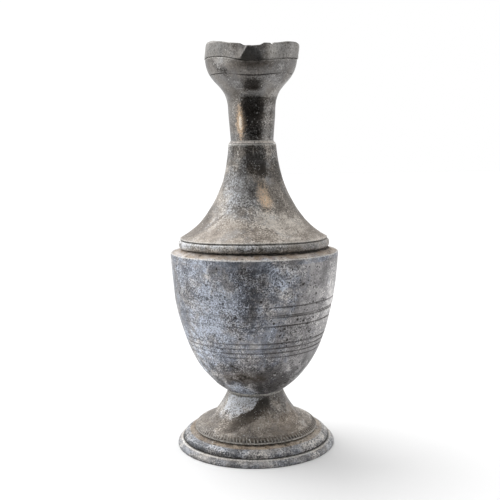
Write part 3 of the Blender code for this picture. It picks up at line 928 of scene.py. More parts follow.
def foot_upper_ring():
    seat_bore = stem_neck_radius + FIT_GAP
    seat_floor = stem_foot - FIT_GAP
    seat_radius = stem_neck_radius + FIT_GAP - STEM_SEAT_WIDTH
    moulding_top = (moulding_top_radius, upper_top)
    moulding_foot = (upper_foot_radius, base_top)
    outline = [(seat_bore, cove_floor + COVE_FILL)]
    outline += straight(outline[0], (moulding_top_radius - 0.0010, cove_floor + 0.3 * COVE_FILL), ROW / 2)
    outline += curve(moulding_top, MOULDING_TOP_PULL, moulding_foot, MOULDING_FOOT_PULL, ROW / 2)
    outline += [(upper_foot_radius, upper_seat), (seat_radius, upper_seat)]
    outline += [(seat_radius, seat_floor), (seat_bore, seat_floor)]
    mesh, points, turn, height, radius = turned("foot_upper_ring", outline, steel)
    side = smooth(height, base_top - 0.0005, base_top + 0.0005) * smooth(radius, seat_bore, seat_bore + 0.002)
    points = moved(mesh, points, side * dents(points, 21, (0.12, 18), (0.06, 6)))
    cove = smooth(radius, moulding_top_radius + 0.0008, moulding_top_radius - 0.0002)
    cove = cove * smooth(height, cove_floor - 0.001, cove_floor - 0.0004)
    # a painted highlight along the moulding's upper part, on real bloom blots
    ridge = 0.12 * blots(points, 12, 24, 0.0, 0.8) + 0.25 * bump(height, upper_top - 0.0020, 0.0012)
    jagged = base_top + 0.0007 + dents(points, 25, (0.4, 3))
    crack = smooth(height, jagged + 0.0003, jagged - 0.0003)
    crack = crack * smooth(radius, upper_radius - 0.003, upper_radius - 0.001)
    # painted shadow, with dirt, in the cove just under the milled rim
    under_rim = cove * smooth(radius, stem_rim_radius + 0.0013, stem_rim_radius + 0.0002)
    under_rim = under_rim * (0.4 + 0.6 * bump(turn, 6, 60)) * blots(points, 4, 26, -1.2, 0.2)
    # painted shade on the moulding's lower part, over a slight even darkening
    foot_shade = 0.10 + 0.35 * bump(height, base_top + 0.0016, 0.0022)
    # the cove and moulding are painted lighter on the right and darker on the left: painted light and painted
    # shade
    stains = {
        "dust": cove * (0.95 + 0.15 * lumps(points, 12, 23)),
        "pits": 0.45 * cove,
        "flecks": 0.3 * cove,
        "grime_and_shade": 0.9 * crack + 0.9 * under_rim + 0.22 * cove * left_of(turn, -60, -25),
        "wear_and_sheen": 0.22 * cove * (1 - under_rim) * right_of(turn, 20, 50),
        "bloom_and_light": ridge + 0.35 * (1 - cove) * right_of(turn, 30, 60),
        "soot_and_shade": foot_shade + 0.35 * (1 - cove) * left_of(turn, -50, -8),
    }
    finish(mesh, "foot_upper_ring", stains)


def fillet(node, outline, material, seed, unevenness, stains=()):
    """A ring of solder, run on unevenly by so many millimetres."""
    mesh, points, *_ = turned(node, outline, material, BODY_STEPS // 2)
    moved(mesh, points, dents(points, seed, (unevenness, 6)), dents(points, seed + 1, (unevenness, 6)))
    finish(mesh, node, stains)


def base_solder_seam():
    corner_radius = base_bore - FIT_GAP
    corner_height = upper_seat - FIT_GAP
    outline = [(corner_radius, corner_height), (corner_radius, corner_height - SEAM_LEG)]
    outline += straight(outline[-1], (corner_radius - SEAM_LEG, corner_height))
    fillet("base_solder_seam", outline, solder, 31, 0.08)


def stem_solder_seam():
    corner_radius = stem_bore - FIT_GAP
    outline = [(corner_radius, stem_foot + SEAM_LEG), (corner_radius, stem_foot)]
    outline += [(corner_radius - SEAM_LEG, stem_foot)]
    outline += straight(outline[-1], outline[0])[:-1]
    fillet("stem_solder_seam", outline, solder, 33, 0.08)


def foot_stem():
    turn_point = (stem_rim_radius - STEM_TURN_IN, stem_rim + STEM_TURN_RISE)
    flare = curve((waist_radius, stem_top), STEM_TOP_PULL, turn_point, STEM_FLARE_PULL, 1.3 * ROW)
    rim = curve(turn_point, STEM_ROUND_PULL, (stem_rim_radius, stem_rim), STEM_RIM_PULL, 0.55 * ROW)
    outer = flare + rim[1:]
    socket_floor = boss_foot - FIT_GAP
    ceiling = socket_floor - SOCKET_FLOOR
    lining = between(between(inset(outer, STEM_WALL), 1, stem_rim, ceiling), 0, socket_hole, stem_bore)
    socket_radius = boss_radius + FIT_GAP
    outline = [(socket_radius, stem_top)] + outer
    outline += [(stem_neck_radius, stem_rim), (stem_neck_radius, stem_foot), (stem_bore, stem_foot)]
    outline += lining[::-3]
    outline += [(socket_hole, ceiling), (socket_hole, socket_floor), (socket_radius, socket_floor)]
    mesh, *_ = turned("foot_stem", outline, taupe, MILLED_STEPS * MILLED_TICKS)
    milled_foot = stem_rim + RIM_LINE
    milled_top = milled_foot + MILLED_HEIGHT
    cutting = {
        "Ticks": MILLED_TICKS,
        "Depth": MILLED_DEPTH,
        "Foot": milled_foot,
        "Top": milled_top,
        "Inner radius": stem_rim_radius - MILLED_INSET,
        "Slant": MILLED_SLANT,
        "Unevenness": MILLED_UNEVENNESS,
        "Seed": MILLED_SEED,
        "Material": taupe,
    }
    mesh = made_real(mesh, milling, milling_inputs, cutting)
    mesh.name = "foot_stem"
    points = corners(mesh)
    turn, height, radius = placed(points)
    outside = on_side(outer, height, radius)
    points = moved(mesh, points, outside * dents(points, 41, (0.12, 22)))
    milled = smooth(height, milled_top, milled_foot + 0.4 * MILLED_HEIGHT)
    ragged = dents(points, 43, (1.1, 11), (0.7, 4.5))
    streak_height = 0.0346 + 0.00029 * turn
    gap = smooth(height, stem_top - 0.0013, stem_top - 0.0006)
    frost = smooth(height - np.maximum(streak_height + ragged, 0.0225), -0.0006, 0.0011)
    frost = outside * frost * span(turn + 4000 * ragged, -72, -52, 8, 17)
    frost = frost * (0.30 + 0.70 * smooth(height, 0.025, 0.033)) * (1 - gap)
    streak = bump(height, streak_height - 0.0040, 0.0082) * span(turn, -44, -24, 18, 36)
    streak = outside * streak * (1 - frost)
    # painted shadow and caked dirt under the milled ticks
    caked_and_shaded = bump(height, milled_foot + 0.0009, 0.0016) * span(turn, -40, -15, 25, 60)
    caked_and_shaded = caked_and_shaded * blots(points, 4, 42, -1.0, 0.2)
    # the lower stem is painted lighter on the right and darker on the left: painted light and painted shade
    left, right = left_of(turn, -45, -22), right_of(turn, 30, 60)
    low_part = smooth(height, 0.030, 0.022) * (height > stem_rim)
    pale = 0.45 * right * low_part * (1 - milled) + spots(points, (0.25, -62, 26, 6, 8, -30))
    brown = spots(points, (0.22, 24, 28.5, 10, 6))
    side_radius = radius_at(outer, height)
    ridge = milled * smooth(radius, side_radius - 0.0003, side_radius)
    rim_line = smooth(height, milled_foot, stem_rim) * (radius > stem_rim_radius - 0.0008)
    stains = {
        "frost": frost,
        "bloom_and_light": 0.78 * frost + pale,
        # the milled band is darkened at the front and right: painted shade with dirt in the ticks
        "soot_and_shade": 1.2 * streak + 1.3 * milled * right_of(turn, -60, 0) + 0.6 * left * low_part + brown,
        "grime_and_shade": 0.25 * streak**2 + caked_and_shaded + 0.9 * gap,
        "dust": spots(points, (0.4, 45, 24, 20, 8)) + 0.15 * low_part,
        "rust": 0.35 * low_part * (1 - left) + brown,
        "wear_and_sheen": 0.8 * rim_line + 0.25 * ridge,
    }
    finish(mesh, "foot_stem", stains, grime_and_shade=1 - 0.75 * milled)


def waist_solder_seam():
    hole = boss_radius + FIT_GAP
    middle = (waist_low + waist_high) / 2
    outline = [(waist_radius, waist_high), (waist_radius + SEAM_BULGE, middle), (waist_radius, waist_low)]
    outline += [(hole, waist_low), (hole, waist_high)]
    fillet("waist_solder_seam", outline, taupe, 51, 0.12, {"bloom_and_light": 0.2, "soot_and_shade": 0.7, "grime_and_shade": 0.35})


# Body

BOWL_LINES = (0.1150, 0.1088, 0.1076, 0.1010, 0.0880, 0.0842, 0.0806, 0.0770)
LINE_HALF = 0.0008
LINE_DEPTH = 0.0006
BOWL_SWELL = 0.0006  # the bowl is fuller on the left
BOWL_FOOT_SWELL = 0.0011
BODY_SHIFT = 0.0005  # the body's rim sits a little to the right
FRONT_LIFT = 0.0008  # the bead and the shoulder above it stand a little high in front
LEDGE_DROOP = 0.0010  # the ledge's two ends sag
BEAD_SWELL = 0.0005  # the bead and the shoulder are fuller on the right
BEAD_GROOVE_DEPTH = 0.0001
SHOULDER_SWELL = 0.0008
SHOULDER_FLARE = 0.0006  # the shoulder's edge is spread to the bead's width


def bowl_side():
    """The bowl's outer side, from its rim to its foot."""
    return curve((bowl_radius, bowl_top), BOWL_RIM_PULL, (bowl_foot_radius, bowl_foot), BOWL_FOOT_PULL)


def bowl_lining():
    """The bowl's inner side, from its rim to its floor."""
    lining = inset(bowl_side(), BOWL_WALL)
    lining[0] = (lining[0][0], bowl_top)
    return between(lining, 1, bowl_foot + BOWL_FLOOR, bowl_top)


def bowl():
    side = bowl_side()
    rows = [line + step * LINE_HALF / 2 for line in BOWL_LINES for step in range(-2, 3)]
    floor = bowl_foot + BOWL_FLOOR
    lining = bowl_lining()[::6]
    outline = [(0.0, floor), (lining[-1][0] / 2, floor)] + lining[::-1]
    outline += with_rows(side, rows + [bowl_top - CRISP])
    outline += [(boss_radius, bowl_foot), (boss_radius, boss_foot)]
    outline += [(boss_radius / 2, boss_foot), (0.0, boss_foot)]
    mesh, points, turn, height, radius = turned("bowl", outline, blue, closed=False)
    outside = on_side(side, height, radius)
    cut = np.max([bump(height, line, LINE_HALF) for line in BOWL_LINES], axis=0)
    deep = 1 - (0.40 + 0.3 * smooth(height, 0.086, 0.096)) * span(turn, -170, -140, 4, 20)
    deep = deep * (0.8 + 0.2 * lumps(points, 30, 61))
    swell = BOWL_SWELL * (bump(height, 0.060, 0.022) + bump(height, 0.108, 0.022))
    swell = swell + BOWL_FOOT_SWELL * bump(height, 0.0465, 0.006)
    outward = dents(points, 62, (0.16, 30), (0.05, 8)) - LINE_DEPTH * cut * deep + swell * bump(turn, -90, 60)
    points = moved(mesh, points, outside * outward, 0.0, BODY_SHIFT * smooth(height, 0.10, bowl_top))
    lower = smooth(height, 0.078, 0.062)
    frost = spots(
        points, (0.60, -40, 118, 16, 18), (0.65, -34, 97, 16, 10), (0.5, -13, 112, 12, 14),
        (0.35, -60, 136, 16, 12), (1.0, -22, 48, 10, 4.2), (0.5, -25, 122, 8, 9), (0.4, -38, 77, 14, 10),
        (0.38, 20, 138, 16, 10), (0.4, -4, 136, 12, 10),
    )
    # pale bloom, with a painted highlight in the thin streak at the upper left (-32, 138.5) and painted light
    # in the broad patch on the right flank (70, 118)
    pale = 0.45 * lower * blots(points, 9, 68, 0.0, 0.9) + spots(
        points, (0.38, -54, 108, 22, 36), (1.0, -32, 138.5, 2.4, 6), (0.20, 30, 127, 12, 12),
        (0.8, 70, 118, 16, 30), (0.55, 16, 132, 12, 18), (0.4, -62, 82, 16, 14),
        (0.35, 7.5, 131, 4.5, 13), (0.40, 48, 94, 8, 18), (0.45, -29, 71.5, 6, 5),
        (0.8, -28, 62.5, 7, 1.2, 10), (0.7, -24, 59, 6, 1, -8),
    )
    # darker patches, and the lower bowl painted darker: painted shade where it would reflect the lit table
    dark = 0.45 * lower * blots(points, 10, 67, -0.1, 0.9) + 0.22 * smooth(height, 0.086, 0.068) + spots(
        points, (0.32, -11, 138, 12, 8), (0.60, -4, 124, 6.5, 16, 0, 3), (0.40, -8, 104, 12, 12),
        (0.6, -11, 60, 15, 6.5), (0.55, 22, 54, 14, 10), (0.35, 32, 96, 14, 10),
    )
    crust_height = 0.0588 + dents(points, 64, (1.2, 13), (1.0, 5))
    crust = bump(height, crust_height, 0.0046) * span(turn, -42, -32, 2, 24) * blots(points, 8, 66, -1.0, 0.3)
    crust = 0.6 * crust + spots(points, (0.9, -13, 60.6, 5, 3.6, 20), (0.6, 1, 60, 5, 3))
    crust = crust * blots(points, 3.5, 69, -0.9, 0.6)
    pitted = np.maximum(patch(points, 35, 129, 18, 18), patch(points, 29, 95, 16, 12))
    low_rust = 0.55 * smooth(height, 0.080, 0.058) * right_of(turn, -30, 10)
    stains = {
        "bloom_and_light": pale,
        "frost": frost,
        "soot_and_shade": dark,
        "rust": 0.8 * right_of(turn, 8, 45) + low_rust,
        "dust": spots(points, (0.25, -14, 60, 13, 5)) + 0.45 * crust,
        "pits": pitted + 0.06 + 0.3 * lower,
        "flecks": 0.45 * outside * lower,
        "grime_and_shade": outside * (0.95 * cut * deep + 1.2 * crust),
    }
    finish(mesh, "bowl", stains, wear_and_sheen=height < bowl_top - 0.001)


def dirty_seam(turn):
    """1 where the seam under the bead is dirty: all round but for the left."""
    return 1 - span(turn, -170, -140, -60, -10)


def ledge_ring():
    bore = skirt_radius + FIT_GAP
    spigot_radius = radius_at(bowl_lining(), ledge_spigot_foot) - FIT_GAP
    spigot_bore = spigot_radius - LEDGE_SPIGOT_WALL
    side_top = (bowl_radius, ledge_edge - LEDGE_ROUND)
    outline = [(bore, ledge_top)]
    outline += straight(outline[-1], (bowl_radius - LEDGE_WIDTH, ledge_top))
    outline += straight(outline[-1], (bowl_radius - LEDGE_ROUND, ledge_edge), ROW / 2)[:-1]
    outline += rounded((bowl_radius - LEDGE_ROUND, ledge_edge), (bowl_radius, ledge_edge), side_top)
    outline += straight(side_top, (bowl_radius, bowl_top + CRISP))
    outline += [(bowl_radius, bowl_top), (spigot_radius, ledge_foot)]
    outline += [(spigot_radius, ledge_spigot_foot), (spigot_bore, ledge_spigot_foot)]
    outline += [(spigot_bore, ledge_under), (bore, ledge_under)]
    mesh, points, turn, height, radius = turned("ledge_ring", outline, blue)
    top = smooth(height, ledge_edge - 0.0004, ledge_edge + 0.0004)
    outward = smooth(radius, bowl_radius - 0.002, bowl_radius) * dents(points, 71, (0.14, 20))
    droop = LEDGE_DROOP * bump(np.abs(turn), 100, 65)
    droop = droop * smooth(radius, bead_radius - 0.001, bead_radius + 0.003)
    upward = top * (dents(points, 72, (0.12, 5)) + 0.6 * FRONT_LIFT * bump(turn, 0, 80) - droop)
    points = moved(mesh, points, outward, upward, BODY_SHIFT)
    under_bead = smooth(radius, bead_radius + 0.0003, bead_radius - 0.0004) * dirty_seam(turn)
    stains = {
        "dust": top * (0.85 + 0.2 * lumps(points, 8, 73)),
        # a light line along the ledge's edge: wear and a painted highlight
        "wear_and_sheen": bump(radius, bowl_radius - 0.0004, 0.0010) * bump(height, ledge_edge, 0.0010),
        "grime_and_shade": top * under_bead * blots(points, 4, 74, -0.9, 0.1),
        "frost": spots(points, (0.6, -45, 146, 22, 10)) * (1 - top),
        "rust": 0.8 * top * smooth(radius, bead_radius + 0.0030, bead_radius + 0.0006),
        "pits": 0.15 * top,
        "flecks": 0.4 * top,
        # the ledge top is painted lighter, painted light against the bead's shade, less on the right
        "bloom_and_light": 0.9 * top * (1 - 0.7 * right_of(turn, 30, 60)),
    }
    finish(mesh, "ledge_ring", stains, wear_and_sheen=height > ledge_edge - LEDGE_ROUND)


def ledge_solder_seam():
    top = ledge_spigot_foot - FIT_GAP
    top_radius = radius_at(bowl_lining(), top) - FIT_GAP
    foot_radius = radius_at(bowl_lining(), top - SKIRT_LEG) - FIT_GAP
    outline = [(top_radius, top), (foot_radius, top - SKIRT_LEG)]
    outline += straight(outline[-1], (top_radius - SKIRT_LEG, top))
    fillet("ledge_solder_seam", outline, solder, 75, 0.06)


def shoulder_solder_seam():
    top = ledge_under - FIT_GAP
    inner = skirt_radius + FIT_GAP
    outline = [(inner, top), (inner + SKIRT_LEG, top)]
    outline += straight(outline[-1], (inner, top - SKIRT_LEG))
    fillet("shoulder_solder_seam", outline, solder, 77, 0.06)


def shoulder_bead():
    bore = skirt_radius + FIT_GAP
    side_top = (bead_radius, bead_top - BEAD_ROUND)
    side_foot = (bead_radius, bead_foot + BEAD_ROUND)
    outline = [(bore, bead_top)]
    outline += rounded((bead_radius - BEAD_ROUND, bead_top), (bead_radius, bead_top), side_top)
    outline += straight(side_top, side_foot, ROW / 3)
    outline += rounded(side_foot, (bead_radius, bead_foot), (bead_radius - BEAD_ROUND, bead_foot))[1:]
    outline += [(bore, bead_foot)]
    mesh, points, turn, height, radius = turned("shoulder_bead", outline, taupe)
    side = smooth(radius, bead_radius - 0.003, bead_radius - 0.001)
    groove = BEAD_GROOVE_DEPTH * bump(height, bead_foot + BEAD_GROOVE, 0.0006)
    outward = side * (dents(points, 81, (0.12, 20)) - groove + BEAD_SWELL * bump(turn, 90, 60))
    upward = side * dents(points, 82, (0.1, 30)) + FRONT_LIFT * bump(turn, 0, 80)
    points = moved(mesh, points, outward, upward)
    under = smooth(height, bead_foot + 0.0022, bead_foot)
    shaded = smooth(height, bead_foot + 0.0038, bead_foot + 0.0010)
    stains = {
        "bloom_and_light": 0.5 * left_of(turn, -10, 40) * side,
        "frost": 0.55 * smooth(height, bead_foot + 0.002, bead_foot + 0.005) * left_of(turn, -10, 50),
        "grime_and_shade": 0.9 * under * blots(points, 5, 83, -0.7, 0.5) * dirty_seam(turn),
        # painted shade on the bead's lower part, stronger on the right
        "soot_and_shade": 0.40 * shaded * (0.6 + 0.4 * right_of(turn, -40, 40)),
        "dust": 0.5 * under * blots(points, 5, 84, 0.0, 0.8),
    }
    finish(mesh, "shoulder_bead", stains)


def shoulder():
    side_top, side_foot = (collar_radius, shoulder_top), (shoulder_radius, shoulder_edge)
    side = curve(side_top, SHOULDER_TOP_PULL, side_foot, SHOULDER_FOOT_PULL)
    seat_under = neck_foot - FIT_GAP - NECK_SEAT
    skirt_bore = skirt_radius - SKIRT_WALL
    lining = between(between(inset(side, SHOULDER_WALL), 1, skirt_foot, seat_under), 0, 0.0, skirt_bore)
    outline = [(collar_bore, shoulder_top)] + side
    outline += [(shoulder_radius, shoulder_under), (skirt_radius, shoulder_under)]
    outline += [(skirt_radius, skirt_foot), (skirt_bore, skirt_foot)]
    outline += lining[::-4]
    outline += [(neck_bore, seat_under), (neck_bore, neck_foot - FIT_GAP), (collar_bore, neck_foot - FIT_GAP)]
    mesh, points, turn, height, radius = turned("shoulder", outline, taupe)
    outside = on_side(side, height, radius) * (height > shoulder_edge - 0.0002)
    outward = dents(points, 91, (0.16, 25), (0.05, 7))
    outward = outward + SHOULDER_SWELL * bump(turn, 90, 75) * bump(height, 0.182, 0.036)
    outward = outward + SHOULDER_FLARE * smooth(height, 0.172, shoulder_edge + 0.001)
    upward = FRONT_LIFT * bump(turn, 0, 80) * span(height, 0.149, 0.151, shoulder_edge + 0.001, 0.176)
    points = moved(mesh, points, outside * outward, upward)
    low_part = smooth(height, 0.190, 0.168)
    # painted shade: the lower left and the right side are darkened where light falls unevenly; the spots are
    # darker patches
    dark = left_of(turn, -75, -40) * low_part
    dark = dark + 0.25 * left_of(turn, -40, -15) * smooth(height, 0.205, 0.215)
    right_side = smooth(height, 0.192, 0.205) * (1 - 0.12 * smooth(height, 0.207, 0.213))
    dark = dark + 0.7 * right_of(turn, 25, 60) * right_side
    dark = dark + spots(
        points, (0.65, 5, 217, 8.5, 11.5, 0, 4), (0.7, 19, 206.5, 5.5, 4), (0.35, 0, 192, 6, 8),
        (0.2, 0, 224, 7, 3.5), (0.4, -53, 222.5, 4, 6), (0.3, 25.5, 214.5, 3, 5.5),
    )
    # pale bloom, with a painted highlight streak at the upper left (-34.5, 221.5), a painted reflection on
    # the right flank (55, 217) and painted light on the lower right (42, 169)
    pale = 0.45 * smooth(height, shoulder_edge + 0.005, shoulder_edge) + spots(
        points, (0.20, -37, 185, 9, 12, 20), (0.35, -36, 205, 6, 8), (0.5, -55, 170, 1.8, 12, -32),
        (0.6, -46, 169, 1.4, 9, -36), (0.4, -40, 179, 1.3, 10, -42), (0.48, 8, 176, 18, 10),
        (0.75, 42, 169, 22, 10), (0.5, -34.5, 221.5, 1.6, 8), (0.35, 55, 217, 4, 11),
    )
    right_rust = 0.4 * right_of(turn, 0, 40) * smooth(height, 0.205, 0.195)
    stains = {
        "soot_and_shade": dark,
        "bloom_and_light": pale,
        "flecks": spots(points, (0.8, -34, 188, 12, 18), (0.5, 0, 185, 12, 14), (0.5, 3, 219, 12, 10)),
        "gold_and_glint": spots(points, (0.85, 19, 187, 5, 7), (0.30, 15, 196, 5, 8)),
        "frost": spots(points, (0.5, -36, 190, 10, 20), (0.3, 4, 180, 14, 10)),
        "dust": 0.25 * outside * smooth(height, 0.185, 0.165),
        "rust": right_rust + 0.4 * low_part,
        "grime_and_shade": 0.08 * outside * low_part * left_of(turn, -40, -20),
        "wear_and_sheen": 0.4 * outside * smooth(height, shoulder_edge + 0.0008, shoulder_edge),
    }
    finish(mesh, "shoulder", stains)


# Neck and mouth

MOUTH_STEPS = 720
NECK_SEAM_TOP_PULL = (0.0002, -0.0012)
NECK_SEAM_FOOT_PULL = (-0.0003, 0.0007)
NICK_TURN = 6.0
NICK_DEPTH = 0.0006
CHIP_TURN = -8.5
CHIP_DEPTH = 0.0003
NOTCH_DEPTH = 0.0012
DENT_TURN = 30.0
DENT_DEPTH = 0.0005


def neck_solder_seam():
    inner, outer = neck_seam_bore, neck_seam_bore + NECK_SEAM_WIDTH
    foot, top = neck_seam_foot, neck_seam_top
    outline = curve((inner, top), NECK_SEAM_TOP_PULL, (outer, foot), NECK_SEAM_FOOT_PULL, ROW / 3)
    outline += [(inner, foot)]
    mesh, points, turn, height, radius = turned("neck_solder_seam", outline, solder)
    proud = smooth(radius, inner, inner + 0.0004)
    nick = bump(turn, NICK_TURN, 3.0) * proud
    outward = proud * dents(points, 101, (0.12, 6)) - NICK_DEPTH * nick
    moved(mesh, points, outward, proud * dents(points, 102, (0.10, 8)))
    left = left_of(turn, -60, -25)
    stains = {
        "bloom_and_light": 0.6 + 0.3 * nick - 0.3 * left,
        "soot_and_shade": 0.6 * smooth(height, foot + 0.0010, top) + 0.8 * nick + 0.6 * left,
        "wear_and_sheen": 0.25 * right_of(turn, -30, 0) * (1 - nick),
    }
    finish(mesh, "neck_solder_seam", stains)


def mouth_and_neck():
    root_radius = neck_radius + NECK_TAPER
    root_bore = root_radius - NECK_WALL
    side = curve((mouth_radius, cup_top), CUP_TOP_PULL, (root_radius, cup_root), CUP_ROOT_PULL)
    lining = curve((liner_bore, cup_top), CUP_TOP_PULL, (root_bore, cup_root), CUP_ROOT_PULL, HIDDEN_ROW)
    rows = [cup_groove + step * CUP_GROOVE_HALF / 2 for step in range(-3, 4)]
    outline = [(liner_bore, liner_top), (liner_radius, liner_top)]
    outline += straight((liner_radius, liner_top), (liner_radius, cup_top), HIDDEN_ROW)
    outline += with_rows(side, rows)
    outline += straight((root_radius, cup_root), (neck_radius, shoulder_top), 1.3 * ROW)
    outline += [(neck_radius, neck_foot), (neck_bore, neck_foot), (neck_bore, shoulder_top)]
    outline += lining[::-1]
    mesh, points, turn, height, radius = turned("mouth_and_neck", outline, warm, MOUTH_STEPS)
    outside = on_side(side, height, radius) * (height <= cup_top)
    groove = outside * bump(height, cup_groove, CUP_GROOVE_HALF)
    groove = groove * (0.25 + 0.75 * blots(points, 20, 111, -0.6, 0.4))
    outward = outside * (dents(points, 112, (0.12, 20), (0.04, 6)) + CUP_SWELL * bump(height, 0.277, 0.015))
    outward = outward - CUP_GROOVE_DEPTH * groove + cup_outward(points)
    moved(mesh, points, outward, -lip_downward(points), lean(height))
    cup = smooth(height, 0.258, 0.268)
    # a painted dark reflection of the dark room in front, down the neck's front; lighter lower on the left
    shadow = span(turn, -29, -23, 14, 48) * smooth(height, 0.218, 0.250)
    shadow = shadow * (1 - 0.8 * smooth(turn, -8, -22) * smooth(height, 0.2540, 0.2495))
    soot_and_shade = 0.9 * shadow * (1 - smooth(height, 0.2603, 0.2622)) + 0.10 * cup
    # the neck's right side is darkened: painted shade over a reflection
    soot_and_shade = soot_and_shade + 0.45 * right_of(turn, 32, 56) * smooth(height, 0.262, 0.250)
    soot_and_shade = soot_and_shade + 0.8 * span(turn, 32, 52, 70, 115) * bump(height, 0.2595, 0.0060)
    soot_and_shade = soot_and_shade + 0.45 * span(turn, -115, -80, -68, -48) * bump(height, 0.2570, 0.0080)
    soot_and_shade = soot_and_shade + spots(
        points, (0.9, 2, 270.5, 7.8, 5.4), (0.25, 32, 236, 5, 5), (0.5, -38, 279.5, 6, 3),
        (0.3, 18, 287, 3, 1.6),
    )
    pale = spots(
        points, (0.8, -42, 286.6, 8.5, 2, 0, 3), (0.6, -47, 283, 3, 4), (0.5, 40, 283.5, 7, 3),
        (0.5, 55, 262, 5, 12), (0.35, 31, 243, 6, 6), (0.3, -50, 243, 6, 14), (0.08, 20, 229, 7.5, 14),
        (0.35, -38, 259, 2.5, 4.5),
    )
    # a warm painted highlight streak down the neck's left, with a near-white core where it is strongest
    gold_and_glint = spots(points, (0.55, -30, 243, 2, 8.5), (0.6, -31, 243, 4, 12.5), (0.2, -20, 243, 2.5, 8))
    stains = {
        "soot_and_shade": soot_and_shade,
        "bloom_and_light": pale,
        "gold_and_glint": gold_and_glint * (height > shoulder_top + 0.002),
        "dust": spots(points, (0.27, -2, 286.4, 14, 3.4)),
        "flecks": spots(points, (0.7, 30, 238, 8, 14), (0.7, 40, 283, 10, 6), (0.9, 14, 229, 9, 14)),
        "pits": spots(points, (0.35, 34, 245, 8, 20)),
        "grime_and_shade": 0.5 * groove + 0.09 * outside * cup,
    }
    finish(mesh, "mouth_and_neck", stains, wear_and_sheen=0.25)


def rim_solder_seam():
    inner = liner_radius + FIT_GAP
    outer = mouth_radius - RIM_SEAM_DEPTH
    top = rim_seam_foot + RIM_SEAM
    outline = [(inner, top), (outer, top), (outer, rim_seam_foot), (inner, rim_seam_foot)]
    mesh, points, *_ = turned("rim_solder_seam", outline, warm, MOUTH_STEPS)
    moved(mesh, points, cup_outward(points), -lip_downward(points))
    finish(mesh, "rim_solder_seam", {"grime_and_shade": 0.8, "soot_and_shade": 0.8})


def rim_band():
    fold = liner_top + FIT_GAP
    side_top = (rim_radius, rim_top - BAND_ROUND)
    drip = band_foot - BAND_DRIP
    side_foot = (rim_radius, drip + BAND_EDGE)
    inner_top = (liner_bore + BAND_INNER_ROUND, rim_top)
    outline = rounded((liner_bore, rim_top - BAND_INNER_ROUND), (liner_bore, rim_top), inner_top)
    outline += rounded((rim_radius - BAND_ROUND, rim_top), (rim_radius, rim_top), side_top)
    outline += straight(side_top, side_foot, 0.5 * ROW)
    outline += rounded(side_foot, (rim_radius, drip), (rim_radius - BAND_EDGE, drip))[1:]
    outline += [(rim_radius - BAND_DRIP_WIDTH, drip), (rim_radius - BAND_DRIP_WIDTH, band_foot)]
    outline += [(band_bore, band_foot), (band_bore, fold), (liner_bore, fold)]
    mesh, points, turn, height, radius = turned("rim_band", outline, warm, MOUTH_STEPS)
    top = smooth(height, rim_top - 0.003, rim_top)
    chip = CHIP_DEPTH * bump(turn, CHIP_TURN, 4.0) * top
    notch = NOTCH_DEPTH * bump(turn, NOTCH_TURN, 3.2)
    dent = DENT_DEPTH * bump(turn, DENT_TURN, 14.0) * bump(height, rim_top - 0.0035, 0.005)
    outer = smooth(radius, band_bore, rim_radius - 0.0004)
    outward = outer * (dents(points, 121, (0.1, 20)) - dent - chip + RIM_SWELL * bump(turn, 90, 60))
    upward = top * (dents(points, 122, (0.2, 12)) - notch) - lip_downward(points)
    moved(mesh, points, lip_outward(points) + outward, upward, lean(height))
    crease_turn = LIP_TURN - np.degrees(np.arctan(flat_half(height) / lip_front(height)))
    edge = smooth(height, rim_top - BAND_ROUND, rim_top - 0.0004)
    crease = bump(turn, crease_turn - 0.6, 1.7) * outer
    crease = crease * smooth(height, band_foot, band_foot + 0.001) * (1 - edge)
    sides = smooth(np.abs(turn), 18, 28)
    # dirt and painted shadow under the band's edge, strongest beneath the lip
    seam_dirt_and_shadow = (0.3 + 0.7 * bump(turn, 0.0, 26.0)) * smooth(height, drip + 0.0006, drip)
    # wear, with a painted soft highlight right of the flat front (28, 295.5)
    rubbed_and_lit = 0.15 * sides + 0.08 * left_of(turn, -36, -20) + spots(points, (0.35, 28, 295.5, 6, 5.5))
    stains = {
        "wear_and_sheen": 0.55 * crease + rubbed_and_lit,
        # the rounded top edge is darkened with painted shade, more on the left, and a painted dark flank lies
        # right of the flat front (17, 293.5)
        "soot_and_shade": 0.8 * edge + spots(points, (0.25, 17, 293.5, 4, 4.5), (0.36, -21, 296, 4.8, 6)),
        "bloom_and_light": 0.06 * sides,
        "grime_and_shade": seam_dirt_and_shadow + edge * (0.3 + 0.4 * left_of(turn, -50, -8)),
    }
    finish(mesh, "rim_band", stains, wear_and_sheen=0.25)


foot_base_ring()
foot_upper_ring()
base_solder_seam()
stem_solder_seam()
foot_stem()
waist_solder_seam()
bowl()
ledge_ring()
ledge_solder_seam()
shoulder_solder_seam()
shoulder_bead()
shoulder()
neck_solder_seam()
mouth_and_neck()
rim_solder_seam()
rim_band()


# Table

FLOOR_REACH = 6.0
FLOOR_FRONT = 0.24  # the table's edge, just below the picture
FLOOR_DROP = 0.0001  # the table lies just under the foot
PAPER = (0.80, 0.80, 0.80, 1.0)


def table():
    """A white table top that keeps a pale shadow."""
    mesh = bpy.data.meshes.new("table_top")
    left, right = (-FLOOR_REACH, FLOOR_REACH)
    front, back = (-FLOOR_FRONT, FLOOR_REACH)
    edges = ((left, front), (right, front), (right, back), (left, back))
    mesh.from_pydata([(x, y, -FLOOR_DROP) for x, y in edges], [], [(0, 1, 2, 3)])
    material = bpy.data.materials.new("white_table")
    tree = bare_tree(material)
    paper = signal(tree, "ShaderNodeBsdfDiffuse", {"Color": PAPER})
    put(tree, "ShaderNodeOutputMaterial", {"Surface": paper})
    mesh.materials.append(material)
    floor = shown("table_top", mesh)


# Light: white walls and ceiling, a dark room behind the camera and a soft light from high on the left

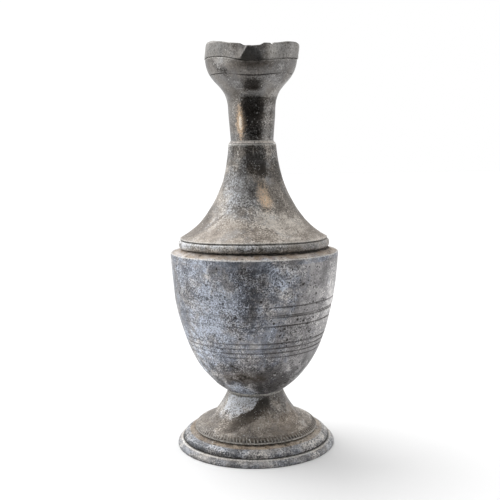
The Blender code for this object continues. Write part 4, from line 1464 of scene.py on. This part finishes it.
WHITE = (1.0, 1.0, 1.0, 1.0)
LEFT_LEVEL = 1.0
RIGHT_LEVEL = 0.8
ROOM_LEVEL = 0.05
TOP_LEVEL = 1.2
ROOM_LEFT = (-47.0, -53.0)  # turns over which the dark room gives way to the walls
ROOM_RIGHT = (32.0, 72.0)
CEILING = (0.55, 0.85)  # and how steeply up to the ceiling
KEY_FROM = (-0.66, 0.66, 1.0)
KEY_STRENGTH = 2.2
KEY_SPREAD = 60.0


def surroundings():
    """White for the camera; for the ewer, white all round but for the dark room in front."""
    world = bpy.data.worlds.new("studio")
    bpy.context.scene.world = world
    tree = bare_tree(world)
    x, y, z = axes_of(signal(tree, "ShaderNodeTexCoord", output="Generated"))
    turn = x.by("ARCTAN2", y * -1.0)
    left = turn.ranged(*np.radians(ROOM_LEFT))
    right = turn.ranged(*np.radians(ROOM_RIGHT))
    wall = left * LEFT_LEVEL + ROOM_LEVEL + right * RIGHT_LEVEL
    level = wall + z.ranged(*CEILING) * (TOP_LEVEL - wall)
    strength = level.by("MAXIMUM", signal(tree, "ShaderNodeLightPath", output="Is Camera Ray"))
    background = signal(tree, "ShaderNodeBackground", {"Color": WHITE, "Strength": strength})
    put(tree, "ShaderNodeOutputWorld", {"Surface": background})


def key_light():
    """Soft light from high on the left, a little behind the ewer."""
    lamp = bpy.data.lights.new("key", "SUN")
    lamp.energy = KEY_STRENGTH
    lamp.angle = math.radians(KEY_SPREAD)
    shown("key", lamp).rotation_euler = Vector(KEY_FROM).to_track_quat("Z", "Y").to_euler()


# Camera

LENS = 60.0
SENSOR = 36.0
NEAREST = 0.01
EYE = (-0.0027, -0.6249, 0.2254)
PITCH = 82.97
ROLL = -0.8


def camera():
    lens = bpy.data.cameras.new("camera")
    lens.lens = LENS
    lens.sensor_width = SENSOR
    lens.clip_start = NEAREST
    holder = shown("camera", lens)
    turn = Matrix.Rotation(math.radians(PITCH), 4, "X") @ Matrix.Rotation(math.radians(ROLL), 4, "Z")
    holder.matrix_world = Matrix.Translation(EYE) @ turn
    bpy.context.scene.camera = holder


table()
surroundings()
key_light()
camera()
bpy.context.scene.view_settings.view_transform = "Standard"
